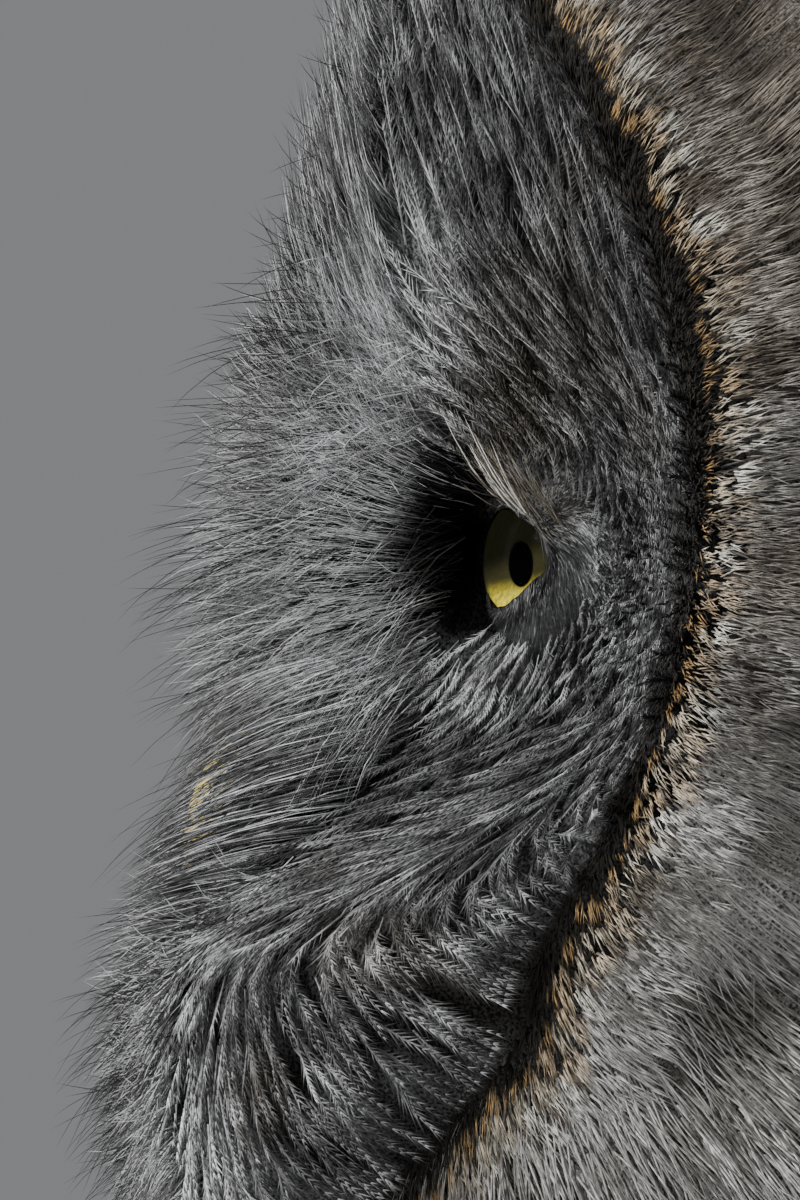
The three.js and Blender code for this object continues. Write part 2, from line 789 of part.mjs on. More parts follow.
function tailStub() {
  const [around, rows] = [14, 4];
  const rings = [];
  for (let r = 0; r <= rows; r++) {
    const reach = mix(stub.first, stub.last, r / rows);
    const size = Math.cos((Math.PI / 2.15) * (r / rows)); // narrows almost to a point
    rings.push(
      Array.from({ length: around }, (_, k) => {
        const a = (2 * Math.PI * k) / around;
        return tailPoint(stub.wide * size * Math.sin(a), reach, stub.below - stub.deep * size * Math.cos(a));
      }),
    );
  }
  return loft(rings);
}

// Head, neck and torso are made as one and parted by thin cuts

const sides = { left: 1, right: -1 };
const acrossAll = 400; // wider than the whole bird
const heightOf = (solid) => (solid.boundingBox().max[2] + solid.boundingBox().min[2]) / 2;
const partAt = (solid, { f, z }) =>
  solid.subtract(slab(point(0, f, z), point(0, neckLean.f, neckLean.z), acrossAll));
const whole = join([headSolid(), bodySolid(0), lidRing(1), lidRing(-1), ...ruffVanes(), ...bristleLocks()]);
const [torsoWhole, neckWhole, headWhole] = bySize(partAt(partAt(whole, throatCut), neckCut))
  .slice(0, 3)
  .sort((a, b) => heightOf(a) - heightOf(b));

const cutter = join([eyeSolid(1, gap), eyeSolid(-1, gap), upperBill(gap), lowerBill(gap)]);
addNode("head", largest(headWhole.subtract(cutter)), facePlumage);
addNode("neck", largest(neckWhole), plumage);

for (const [name, hand] of Object.entries(sides)) addNode("eye_" + name, eyeSolid(hand, 0), iris);

addNode("bill_upper", largest(upperBill(0).subtract(join([nostril(1), nostril(-1)]))), horn);
addNode("bill_lower", largest(lowerBill(0).subtract(upperBill(gap))), horn);

// The tail's stub and feathers, cut clear of the torso
const torsoGrown = bodySolid(gap);
const tailSolid = largest(join([tailStub(), ...tailVanes()]).subtract(torsoGrown));
addNode("tail", tailSolid, flightFeather);

addNode("torso", largest(torsoWhole), plumage);

// Each leg with its foot and claws is made as one, stood on the floor and parted by thin cuts

function legWithFoot(hand) {
  const ankle = point(hand * footSide, footAt, 0);
  const headingOf = (toe) => {
    const turn = radians(hand * toe.turn);
    return point(Math.sin(turn), Math.cos(turn), 0);
  };
  const clawCut = (toe) => {
    const heading = headingOf(toe);
    const at = ankle.clone().addScaledVector(heading, toe.length + clawShows);
    at.z = toe.thick * 0.9;
    return slab(at, heading, 2 * toe.thick);
  };
  const under = new THREE.BoxGeometry(acrossAll, acrossAll, 40);
  under.translate(0, 0, -20);
  const toeParts = (toe) => [toeSolid(headingOf(toe), ankle, toe), clawSolid(headingOf(toe), ankle, toe)];
  const cuts = [
    solidFrom(under),
    ...toes.map(clawCut),
    slab(point(hand * footSide, footAt, ankleHeight), point(0, 0, 1), 90),
    torsoGrown,
  ];
  const joined = join([legSolid(hand), ...toes.flatMap(toeParts)]);
  const pieces = bySize(joined.subtract(join(cuts))).map(largest);
  const [leg, foot] = pieces.slice(0, 2).sort((a, b) => heightOf(b) - heightOf(a));
  const claws = toes.map((toe) => {
    const tip = ankle.clone().addScaledVector(headingOf(toe), toe.length + clawLength / 2);
    const distance = (piece) => {
      const { min, max } = piece.boundingBox();
      return Math.hypot((min[0] + max[0]) / 2 - tip.x, (min[1] + max[1]) / 2 - tip.y);
    };
    return [...pieces.slice(2)].sort((a, b) => distance(a) - distance(b))[0];
  });
  return { leg, foot, claws };
}

for (const [name, hand] of Object.entries(sides)) {
  const { leg, foot, claws } = legWithFoot(hand);
  addNode("leg_" + name, leg, downyLeg);
  addNode("foot_" + name, foot, downyLeg);
  toes.forEach((toe, i) => addNode("claw_" + toe.name + "_" + name, claws[i], claw));
}

for (const [name, hand] of Object.entries(sides)) {
  const feathers = wingTiers.flatMap((tier) => tierVanes(hand, tier));
  addNode("wing_" + name, largest(join([wingArm(hand), ...feathers]).subtract(torsoGrown)), darkPlumage);
}

// The origin is on the floor under the middle of the whole bird
owl.updateMatrixWorld(true);
const bounds = new THREE.Box3().setFromObject(owl);
owl.position.set(0, -(bounds.min.y + bounds.max.y) / 2, -bounds.min.z);

export default owl;
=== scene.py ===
from functools import partial
from math import cos, pi, radians, sin

import bmesh
import bpy
import numpy as np
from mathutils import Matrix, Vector


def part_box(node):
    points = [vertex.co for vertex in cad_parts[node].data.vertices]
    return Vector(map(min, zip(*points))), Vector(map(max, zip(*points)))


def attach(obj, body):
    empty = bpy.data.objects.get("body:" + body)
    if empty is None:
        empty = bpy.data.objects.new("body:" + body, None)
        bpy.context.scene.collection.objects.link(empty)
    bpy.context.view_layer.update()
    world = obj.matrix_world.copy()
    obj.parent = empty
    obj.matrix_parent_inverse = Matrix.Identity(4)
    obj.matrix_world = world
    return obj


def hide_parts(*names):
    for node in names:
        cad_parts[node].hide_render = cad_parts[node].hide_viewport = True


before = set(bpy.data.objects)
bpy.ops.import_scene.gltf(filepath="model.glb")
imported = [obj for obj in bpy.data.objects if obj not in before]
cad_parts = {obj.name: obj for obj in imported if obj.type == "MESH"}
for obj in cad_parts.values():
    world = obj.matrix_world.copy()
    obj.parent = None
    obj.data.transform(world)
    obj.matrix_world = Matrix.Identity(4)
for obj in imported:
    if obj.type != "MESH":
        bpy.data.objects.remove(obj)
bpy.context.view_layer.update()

# A great grey owl standing with folded wings. Shapes are worked out in millimetres and become metres when
# a mesh is made. The owl faces -Y, its left side is +X, and the floor is at z = 0.

mm = 0.001
chance = np.random.default_rng(41)

# Camera
# It stands off the owl's left side, level with its eye, and sees the front half of the head in profile,
# as the photograph does. The frame is 141 mm high where the left pupil stands.

eye_low, eye_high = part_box("eye_left")
eye_ball = 8.6
eye_turn = radians(32)  # how far each eye looks outwards
eye_side = 24.0  # half the distance between the pupils
iris_depth = 6.4  # from the ball's middle to the iris
pupil_y = eye_high.y / mm - eye_ball - iris_depth * cos(eye_turn)
pupil_z = (eye_low.z + eye_high.z) / 2 / mm

view_height = 141.0
view_ahead = 14.0  # the frame's middle, forwards of the pupil and above it
view_above = -4.2
view_distance = 2000.0
sensor = 36.0

camera_data = bpy.data.cameras.new("camera")
camera_data.sensor_width = sensor
camera_data.lens = sensor * view_distance / view_height
camera_data.clip_start = 0.05
camera = bpy.data.objects.new("camera", camera_data)
camera.location = Vector((eye_side + view_distance, pupil_y - view_ahead, pupil_z + view_above)) * mm
camera.rotation_euler = (pi / 2, 0, pi / 2)
bpy.context.scene.collection.objects.link(camera)
bpy.context.scene.camera = camera

# Skin
# One closed skin lies under the plumage from the crown to the toes, as deep as the feathers are thick.
# Head, body, legs and toes are shaped apart, fused, and smoothed where they run into one another.

disc_radius = 80.0
disc_chin = 13.0  # how much further the facial disc reaches at the chin
disc_rise = 5.0  # the disc's middle above the pupils
head_side, head_up, head_back = 86.0, 92.0, 83.0  # half width, height and depth behind its widest ring
widest_at = -35.0  # the head's widest ring, forwards of the pupils
side_run = 18.0  # from the rim back to that ring, along the plumage
back_run = 132.0  # from that ring to the back of the head

# Down the middle of the face: height above the pupils, how far forwards the plumage stands, and how far
# forwards the tips of bristles and barbs reach
face_middle = np.array([
    (-88, 36, 44),
    (-76, 41, 50),
    (-62, 43.5, 51.5),
    (-48, 42, 51),
    (-36, 35, 48),
    (-24, 28, 42),
    (-8, 30, 44.5),
    (10, 30.5, 41),
    (26, 28.5, 36.5),
    (44, 24, 27),
    (64, 19, 21.5),
    (85, 12.5, 13),
])

# Sections of the body from the neck to the rump: forwards and up of the front and of the back, half width.
# Forwards counts from the feet, and the pupils stand this far forwards of that point.
pupil_forwards = 75.0
body_sections = np.array([
    (76, 400, -20, 436, 56),
    (94, 372, -44, 414, 76),
    (101, 346, -62, 396, 85),
    (103, 315, -80, 372, 92),
    (98, 270, -101, 338, 101),
    (84, 225, -122, 298, 105),
    (62, 184, -140, 256, 103),
    (34, 149, -154, 218, 95),
    (2, 123, -163, 186, 82),
    (-36, 107, -168, 158, 65),
    (-76, 98, -174, 140, 49),
    (-112, 88, -184, 122, 34),
    (-141, 77, -190, 105, 20),
])

# A shank: aside, forwards and up of its middle, half width and half depth
leg_sections = np.array([
    (46, -30, 152, 33, 46),
    (44, -27, 122, 32, 43),
    (41, -23, 92, 27.5, 35),
    (39, -20, 64, 22.5, 27),
    (38, -18, 40, 18, 21),
    (38, -18, 22, 15.5, 17.5),
    (38, -18, 9, 14, 15.5),
])
ankle_side, ankle_forwards, instep = 38.0, -18.0, 13.0
toes = [("inner", -24, 38, 9.0), ("middle", 6, 42, 9.2), ("outer", 78, 36, 8.8), ("hind", 190, 27, 8.2)]


def mix(a, b, share):
    return a + (b - a) * share


def smooth(start, end, value):
    share = np.clip((value - start) / (end - start), 0, 1)
    return share * share * (3 - 2 * share)


def unit(vectors):
    return vectors / np.maximum(np.linalg.norm(vectors, axis=-1, keepdims=True), 1e-9)


def spline(values, at):
    """A smooth curve through evenly spaced values, read at whole or broken places."""
    last = len(values) - 1
    at = np.clip(at, 0, last)
    i = np.minimum(np.floor(at).astype(int), last - 1)
    u = at - i
    p, a, b, q = (values[np.clip(i + k, 0, last)] for k in (-1, 0, 1, 2))
    return a + 0.5 * u * (b - p + u * (2 * p - 5 * a + 4 * b - q + u * (3 * (a - b) + q - p)))


def head_point(x, up, out):
    """A place given from the middle between the pupils: aside, up and forwards."""
    x, up, out = np.broadcast_arrays(x, up, out)
    return np.stack([x, pupil_y - out, pupil_z + up], axis=-1).astype(float)


def floor_point(x, forwards, z):
    return head_point(x, z - pupil_z, forwards - pupil_forwards)


def from_head(points):
    """Aside, up and forwards of the middle between the pupils."""
    return points[..., 0], points[..., 2] - pupil_z, pupil_y - points[..., 1]


def middle_reach(up, column=1):
    place = np.interp(up, face_middle[:, 0], np.arange(len(face_middle)))
    return spline(face_middle[:, column], place)


def rim_radius(angle):
    return disc_radius + disc_chin * np.maximum(0, -np.cos(angle)) ** 2


def rim_height(angle):
    return disc_rise + rim_radius(angle) * np.cos(angle)


def ring_point(radius, angle, out):
    """A place on a ring round the middle of the disc."""
    return head_point(radius * np.sin(angle), disc_rise + radius * np.cos(angle), out)


def rim_reach(up):
    return -18.4 + 0.0056 * (up - 8) ** 2 - 5.5 * smooth(-44, -60, up)  # swept back at the cheeks


def disc_share(x, up):
    """0 in the middle of the disc and 1 on its rim."""
    return np.hypot(x, up - disc_rise) / rim_radius(np.arctan2(np.abs(x), up - disc_rise))


def face_reach(x, up):
    """How far forwards the face stands: a ridge down the middle, hollows for the eyes, a full chin."""
    angle = np.arctan2(np.abs(x), up - disc_rise)
    half_width = np.sqrt(np.maximum(36, rim_radius(angle) ** 2 - (up - disc_rise) ** 2))
    t = np.clip(np.abs(x) / half_width, 0, 1)
    chin = smooth(-16, -48, up)
    brow = smooth(10, 44, up)
    ridge = chin * (1 - t * t) ** 0.65
    ridge = ridge + (1 - chin) * brow * (0.45 * (1 - t) + 0.55 * np.exp(-((t / 0.36) ** 2)))
    ridge = ridge + (1 - chin) * (1 - brow) * (0.22 * (1 - t) + 0.78 * np.exp(-((t / 0.25) ** 2)))
    rim = mix(rim_reach(up), rim_reach(rim_height(angle)), np.clip(disc_share(x, up), 0, 1))
    return rim + (middle_reach(up) - rim) * ridge


def disc_point(x, up, height):
    """A point over the facial disc, raised square to its surface."""
    step = 1.0
    here = face_reach(x, up)
    slope_x = (face_reach(x + step, up) - here) / step
    slope_up = (face_reach(x, up + step) - here) / step
    long = np.sqrt(1 + slope_x**2 + slope_up**2)
    return head_point(x - height * slope_x / long, up - height * slope_up / long, here + height / long)


def side_point(angle, run, height):
    """A point over the sides and back of the head: angle round from the top, run back from the rim."""
    wide = mix(head_side, head_up, np.cos(angle) ** 2)
    before = np.clip(run / side_run, 0, 1)
    turn = np.maximum(0, run - side_run) / back_run * pi / 2
    radius = mix(rim_radius(angle) + 1, wide, before) * np.cos(turn) + height * np.cos(turn)
    out = mix(rim_reach(rim_height(angle)), widest_at, before) - head_back * np.sin(turn)
    return ring_point(radius, angle, out - height * np.sin(turn))


def on_sections(sections, t, angle, height):
    """A point over oval sections: t along them, angle round from the front over the left side."""
    t, angle, height = np.broadcast_arrays(t, angle, height)
    place = np.clip(t, 0, 1) * (len(sections) - 1)
    front_f, front_z, back_f, back_z, half = (spline(column, place) for column in sections.T)
    reach_f, reach_z = (front_f - back_f) / 2, (front_z - back_z) / 2
    deep = np.hypot(reach_f, reach_z)
    share = (deep + height) / deep * np.cos(angle)
    forwards = (front_f + back_f) / 2 + reach_f * share
    return floor_point((half + height) * np.sin(angle), forwards, (front_z + back_z) / 2 + reach_z * share)


def body_point(t, angle, height):
    return on_sections(body_sections, t, angle, height)


def leg_point(hand, t, angle, height):
    place = np.clip(t, 0, 1) * (len(leg_sections) - 1)
    x, f, z, wide, deep = (spline(column, place) for column in leg_sections.T)
    x = hand * x + (wide + height) * np.sin(angle)
    return floor_point(x, f + (deep + height) * np.cos(angle), z + 0 * angle)


def toe_place(hand, turn, ahead, aside, z):
    """A place given from the ankle: along the way that a toe points, aside of it, and up."""
    heading = radians(hand * turn)
    x = hand * ankle_side + ahead * sin(heading) + aside * cos(heading)
    return floor_point(x, ankle_forwards + ahead * cos(heading) - aside * sin(heading), z)


def toe_point(hand, toe, t, angle, height):
    """A point over a toe: t along it from the ankle, angle round it from the top."""
    _, turn, length, thick = toe
    radius = mix(1.1, 0.84, t) * thick * np.sqrt(np.clip((1.06 - t) / 0.16, 0, 1)) + height
    z = mix(instep, thick * 0.72, smooth(0, 0.6, t)) + radius * np.cos(angle)
    return toe_place(hand, turn, length * t, radius * np.sin(angle), np.maximum(z, 0.4))


def hashed(i, j, k, seed):
    """A number from 0 to 1 for each cell of a grid, the same on every run."""
    mixed = (i * 374761393 + j * 668265263 + k * 1442695041 + seed * 974711) & 0xFFFFFFFF
    mixed = ((mixed ^ (mixed >> 13)) * 1274126177) & 0xFFFFFFFF
    return ((mixed ^ (mixed >> 16)) & 0xFFFF) / 65535.0


def mottle(points, size, seed):
    """Soft random patches about as big as size, from 0 to 1."""
    cell = np.asarray(points) / size
    low = np.floor(cell).astype(np.int64)
    part = cell - low
    part = part * part * (3 - 2 * part)
    total = 0
    for corner in range(8):
        step = np.array([corner & 1, corner >> 1 & 1, corner >> 2 & 1])
        weight = np.prod(np.where(step == 1, part, 1 - part), axis=-1)
        total = total + weight * hashed(*np.moveaxis(low + step, -1, 0), seed)
    return total


# Colours of the plumage
silver = np.array((0.50, 0.503, 0.51))
ash = np.array((0.115, 0.115, 0.118))
soot = np.array((0.028, 0.026, 0.026))
black = np.array((0.008, 0.0075, 0.0075))
fawn = np.array((0.30, 0.25, 0.19))
umber = np.array((0.085, 0.066, 0.05))
cream = np.array((0.62, 0.55, 0.43))
buff = np.array((0.50, 0.31, 0.12))

ring_gap = 6.6  # between the dark rings of the disc


def blend(a, b, share):
    return a + (b - a) * np.asarray(share)[..., None]


def spot(points, out, up, long, high):
    """1 at a place on the face seen from the side, falling off evenly round it."""
    _, here_up, here_out = from_head(points)
    return np.exp(-(((here_out - out) / long) ** 2) - ((here_up - up) / high) ** 2)


def eye_shadow(points):
    """The black hollow between the eye and the bill's bristles."""
    _, up, out = from_head(points)
    return smooth(1.2, 0.7, np.hypot((out - 9.0) / 6.2, (up - 2.2) / 7.2))


def pale_zones(points):
    """Where the disc is palest: over the eye, on the ridge before it and in a crescent below it."""
    zones = 1.2 * spot(points, 14, 28, 7.5, 12) + 1.1 * spot(points, 24, 14, 9, 8)
    zones = zones + 1.1 * spot(points, 24, -3, 9, 8) + 0.8 * spot(points, 26, -18, 8, 5)
    return np.minimum(1, zones + 0.6 * spot(points, 11, -11, 9, 4.5))


def disc_shade(points):
    """The disc: pale grey with dark rings round each eye, black before it, white crescents over it."""
    x, up, out = from_head(points)
    x = np.abs(x)
    from_eye = np.hypot(x - eye_side, up * 0.94)
    wobble = 6.0 * (mottle(points, 12.0, 1) - 0.5) + 4.0 * (mottle(points, 4.0, 2) - 0.5)
    ring = 0.5 + 0.5 * np.cos(2 * pi * (from_eye + wobble) / ring_gap)
    dark = smooth(0.35, 0.8, ring) * mix(0.7, 1.0, mottle(points, 14.0, 3))
    dark = dark * smooth(7, 14, from_eye)
    light = blend(ash, silver * 0.72, smooth(0.35, 0.8, mottle(points, 5.0, 4)))
    shade = blend(light, soot, 0.93 * dark)
    brown = spot(points, 1, 21, 8, 11) + 0.5 * smooth(0.6, 0.85, mottle(points, 15.0, 5))
    shade = blend(shade, np.array((0.085, 0.07, 0.045)), 0.6 * np.minimum(1, brown))
    shade = blend(shade, silver * 1.15, 0.85 * pale_zones(points) * mix(0.6, 1.0, 1 - dark))
    uneven = 0.3 * spot(points, 14, 28, 7.5, 12) - 0.4 * spot(points, 4, 32, 4.5, 17)
    shade = shade * (1 + uneven + 0.4 * spot(points, 6, -54, 14, 14))[..., None]
    shade = blend(shade, black, 0.97 * eye_shadow(points))
    rim = smooth(0.945, 0.985, disc_share(x, up))
    shade = blend(shade, black * 1.6, rim * mix(0.95, 0.6, smooth(-20, -50, up)))
    bib = smooth(12, 6, x) * smooth(-48, -56, up)
    shade = blend(shade, soot, 0.85 * bib)
    beard = smooth(10, 18, x) * smooth(40, 28, x) * smooth(-58, -68, up)
    return blend(shade, silver * 1.15, 0.7 * beard)


def head_shade(points):
    """Sides and back of the head: grey-brown, softly mottled with pale fawn, greyer down the neck."""
    stretched = points * np.array((1.0, 0.6, 0.8))
    patches = mottle(stretched, 6.0, 11)
    small = mottle(stretched, 2.6, 12)
    pale = smooth(0.3, 0.68, 0.66 * patches + 0.34 * small)
    _, up, _ = from_head(points)
    low = smooth(-6, -28, up)
    light = blend(np.array((0.40, 0.355, 0.295)), np.array((0.36, 0.36, 0.36)), mottle(points, 16.0, 14))
    light = blend(light, np.array((0.70, 0.69, 0.67)), low)
    deep = blend(np.array((0.14, 0.12, 0.098)), np.array((0.27, 0.255, 0.235)), low)
    return blend(deep, light, pale) * (1 + 0.4 * smooth(10, 34, up))[..., None]


def body_shade(points):
    """Body: grey-brown, paler and greyer below, darker over the back."""
    over = smooth(-60, 60, points[..., 1] - pupil_y - 120 + 0.55 * (points[..., 2] - 250))
    patches = mottle(points, 24.0, 21)
    below = blend(np.array((0.21, 0.205, 0.195)), np.array((0.37, 0.345, 0.31)), patches)
    above = blend(umber * 1.7, ash * 1.15, smooth(0.35, 0.8, patches))
    shade = blend(below, above, over)
    return blend(shade, np.array((0.42, 0.41, 0.395)), 0.65 * smooth(300, 372, points[..., 2]))


def leg_shade(points):
    return blend(np.array((0.36, 0.335, 0.295)), ash, smooth(0.3, 0.8, mottle(points, 9.0, 31)))


def coat_shade(points):
    """Whichever plumage grows at these points of the skin."""
    x, up, out = from_head(points)
    share = disc_share(x, up)
    shade = body_shade(points)
    legs = smooth(150, 110, points[..., 2]) * (points[..., 1] < pupil_y + 150)
    shade = blend(shade, leg_shade(points), legs)
    on_head = (up > -75) & (out > -125)
    shade = np.where(on_head[..., None], head_shade(points), shade)
    on_disc = (share < 1) & (out > rim_reach(up) - 8) & (up > -88)
    return np.where(on_disc[..., None], disc_shade(points), shade)


class Wire:
    """A socket in a material: sums, products and the like of wires add Math nodes."""

    def __init__(self, tree, socket=None):
        self.tree = tree
        self.socket = socket

    def node(self, kind, settings=None, inputs=None, out=0):
        """Any other node, given its settings and the values or wires of its sockets."""
        made = self.tree.nodes.new(kind)
        for name, value in (settings or {}).items():
            setattr(made, name, value)
        for name, value in (inputs or {}).items():
            if isinstance(value, Wire):
                self.tree.links.new(value.socket, made.inputs[name])
            elif isinstance(value, np.ndarray):
                made.inputs[name].default_value = (*value, 1)
            else:
                made.inputs[name].default_value = value
        return Wire(self.tree, made.outputs[out])

    def math(self, operation, *values):
        return self.node("ShaderNodeMath", {"operation": operation}, dict(enumerate(values)))

    def __add__(self, other):
        return self.math("ADD", self, other)

    def __radd__(self, other):
        return self.math("ADD", other, self)

    def __sub__(self, other):
        return self.math("SUBTRACT", self, other)

    def __rsub__(self, other):
        return self.math("SUBTRACT", other, self)

    def __mul__(self, other):
        return self.math("MULTIPLY", self, other)

    def __rmul__(self, other):
        return self.math("MULTIPLY", other, self)

    def part(self, axis):
        return self.node("ShaderNodeSeparateXYZ", inputs={0: self}, out=axis)

    def vector(self, operation, inputs, out=0):
        return self.node("ShaderNodeVectorMath", {"operation": operation}, inputs, out)

    def noise(self, place, scale, detail):
        return self.node("ShaderNodeTexNoise", inputs={"Vector": place, "Scale": scale, "Detail": detail})

    def ramp(self, start, end):
        """0 up to start and 1 from end on, with a soft step between; end may come first."""
        inputs = {"Value": self, "From Min": start, "From Max": end}
        return self.node("ShaderNodeMapRange", {"interpolation_type": "SMOOTHSTEP"}, inputs)

    def colour_mix(self, a, b, share, how="MIX"):
        settings = {"data_type": "RGBA", "blend_type": how}
        return self.node("ShaderNodeMix", settings, {0: share, 6: a, 7: b}, out=2)

    def lighten(self, colour, factor):
        """A colour times a number."""
        grey = self.node("ShaderNodeCombineColor", inputs={0: factor, 1: factor, 2: factor})
        return self.colour_mix(colour, grey, 1.0, "MULTIPLY")

    def finish(self, shader, colour, height, deep, strength):
        """The shader gets this colour, and bumps from the height, unless they aren't deep at all."""
        self.tree.links.new(colour.socket, shader.inputs["Base Color"])
        if deep:
            inputs = {"Height": height, "Distance": deep, "Strength": strength}
            bumps = self.node("ShaderNodeBump", inputs=inputs)
            self.tree.links.new(bumps.socket, shader.inputs["Normal"])


def new_finish(name, roughness, **constants):
    """A material, and a wire that makes its nodes; constants go to the shader's own sockets."""
    material = bpy.data.materials.new(name)
    material.use_nodes = True
    shader = material.node_tree.nodes["Principled BSDF"]
    shader.inputs["Roughness"].default_value = roughness
    for socket, value in constants.items():
        shader.inputs[socket.replace("_", " ")].default_value = value
    return material, shader, Wire(material.node_tree)


def plumage_finish(name, roughness=0.62, grain=1400.0, bump=0.0, gloss=0.22, contrast=0.28):
    """Feather: its colour is kept on the mesh, with a fine grain where single barbules catch the light."""
    material, shader, wire = new_finish(name, roughness, Specular_IOR_Level=gloss)
    shade = wire.node("ShaderNodeAttribute", {"attribute_name": "shade"})
    noise = wire.noise(wire.node("ShaderNodeTexCoord", out="Object"), grain, 3.0)
    glow = (1 - contrast) + 2 * contrast * noise.ramp(0.32, 0.68)
    wire.finish(shader, wire.lighten(shade, glow), noise, bump, 0.6)
    return material


def add_piece(mesh, material, slot, *replaced):
    """A finished mesh becomes a piece that stands with the owl."""
    mesh.materials.clear()
    mesh.materials.append(material)
    piece = bpy.data.objects.new(mesh.name, mesh)
    bpy.context.scene.collection.objects.link(piece)
    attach(piece, "root")
    if replaced:
        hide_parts(*replaced)


def place_all(verts, points):
    for vertex, place in zip(verts, points):
        vertex.co = Vector(place) * mm


def add_form(shell, rows, around, point):
    """A ball of rows and segments is added to the shell and drawn out to point(share along, angle)."""
    made = bmesh.ops.create_uvsphere(shell, u_segments=around, v_segments=rows, radius=1)
    ball = np.array([v.co for v in made["verts"]])
    along = np.arccos(np.clip(ball[:, 2], -1, 1)) / pi
    angle = np.arctan2(ball[:, 0], ball[:, 1])
    place_all(made["verts"], point(along, angle))


def finished_mesh(name, form, merge=0.0):
    """A form becomes a smooth mesh that faces outwards; points that lie closer than merge become one."""
    if merge:
        bmesh.ops.remove_doubles(form, verts=form.verts, dist=merge)
    bmesh.ops.recalc_face_normals(form, faces=form.faces)
    mesh = bpy.data.meshes.new(name)
    form.to_mesh(mesh)
    form.free()
    mesh.shade_smooth()
    return mesh


def mesh_points(mesh):
    points = np.empty(3 * len(mesh.vertices), np.float32)
    mesh.vertices.foreach_get("co", points)
    return points.reshape(-1, 3).astype(float) / mm


def set_shade(mesh, colours):
    layer = mesh.attributes.new("shade", "FLOAT_COLOR", "POINT")
    flat = np.ones((len(mesh.vertices), 4), np.float32)
    flat[:, :3] = colours
    layer.data.foreach_set("color", flat.ravel())


face_depth = 3.0  # how thick the coat is over the face, the body and the feet
body_depth = 5.0
foot_depth = 2.0
same_place = 0.00001  # points of a closed form that lie no further apart, in metres, are one


def head_form(along, angle):
    share = np.minimum(1, along * 2)
    radius = share * rim_radius(angle)
    x, up = radius * np.sin(angle), disc_rise + radius * np.cos(angle)
    front = disc_point(x * 0.985, up, -face_depth)
    back = side_point(angle, np.maximum(0, along * 2 - 1) * (side_run + back_run), -body_depth)
    return np.where((along < 0.5)[:, None], front, back)


def closed_form(point, depth, along, angle):
    """A form that lies this deep under its surface and closes on its middle line at both ends."""
    t = np.clip((along - 0.02) / 0.96, 0, 1)
    inside = (along > 0.01) & (along < 0.99)
    middle = (point(t, 0 * t, 0) + point(t, 0 * t + pi, 0)) / 2
    return np.where(inside[:, None], point(t, angle, -depth), middle)


shell = bmesh.new()
add_form(shell, 90, 96, head_form)
add_form(shell, 72, 64, partial(closed_form, body_point, body_depth))
for hand in (1, -1):
    add_form(shell, 36, 28, partial(closed_form, partial(leg_point, hand), foot_depth))
    for toe in toes:
        add_form(shell, 18, 18, lambda along, angle: toe_point(hand, toe, along, angle, -foot_depth))
rough_skin = finished_mesh("rough_skin", shell)

skin_voxel = 0.003
shaping = bpy.data.objects.new("rough_skin", rough_skin)
bpy.context.scene.collection.objects.link(shaping)
fuse = shaping.modifiers.new("fuse", "REMESH")
fuse.mode = "VOXEL"
fuse.voxel_size = skin_voxel
relax = shaping.modifiers.new("relax", "SMOOTH")
relax.factor = 0.5
relax.iterations = 4
evaluated = shaping.evaluated_get(bpy.context.evaluated_depsgraph_get())
skin_mesh = bpy.data.meshes.new_from_object(evaluated)
bpy.data.objects.remove(shaping)
skin_mesh.name = "skin"
skin_mesh.shade_smooth()
skin_points = mesh_points(skin_mesh)
_, skin_up, skin_out = from_head(skin_points)
on_face = (skin_out > rim_reach(skin_up) - 4) & (skin_up > -90)
# painted shade: the skin is darker than the plumage over it, so that it reads as shade in the gaps between
# the feathers, most on the face and a little less on the ridge before the eye
painted_gap_shade = np.where(on_face, 0.26 + 0.15 * spot(skin_points, 20, -3, 5, 8), 0.5)
# painted shadow of the hollow just before and below the eye, where the skin turns black
hollow = smooth(1.25, 0.85, np.hypot((skin_out - 5.0) / 6.0, (skin_up + 1.2) / 9.0))
set_shade(skin_mesh, coat_shade(skin_points) * (painted_gap_shade * (1 - 0.95 * hollow))[:, None])
skin_finish = plumage_finish("underplumage", 0.95, 2600.0, 0.0004, gloss=0.0, contrast=0.8)
flesh = ["head", "neck", "torso", "leg_left", "leg_right", "foot_left", "foot_right"]
add_piece(skin_mesh, skin_finish, "body_plumage", *flesh)

# Facial disc
# Each half of the disc is covered by loose, hair-like feathers in rings round the eye: a fine pale shaft
# with long free barbs to both sides. They grow longer outwards and lie over one another like tiles.


def trace(surface, start, end, heights, stations, shape=1.6):
    """Lines that lie along a surface from start to end, with the way outwards at each station."""
    share = np.linspace(0, 1, stations)
    places = [mix(a[:, None], b[:, None], share) for a, b in zip(start, end)]
    low, high = (np.broadcast_to(h, start[0].shape)[:, None] for h in heights)
    height = mix(low, high, share**shape)
    points = surface(*places, height)
    outward = unit(surface(*places, height + 1.0) - points)
    return points, outward


def along_path(path, outward, shares):
    """Points, headings and ways outwards at shares of each path."""
    at = shares * (path.shape[1] - 1)
    i = np.minimum(np.floor(at).astype(int), path.shape[1] - 2)
    u = (at - i)[:, None]
    points = path[:, i] * (1 - u) + path[:, i + 1] * u
    heading = unit(path[:, i + 1] - path[:, i])
    up = outward[:, i] * (1 - u) + outward[:, i + 1] * u
    up = unit(up - heading * np.sum(up * heading, axis=-1, keepdims=True))
    return points, heading, up


def path_frame(path, outward):
    """The ways up and across at each station of a path."""
    heading = unit(np.gradient(path, axis=1))
    up = unit(outward - heading * np.sum(outward * heading, axis=-1, keepdims=True))
    return up, np.cross(heading, up)


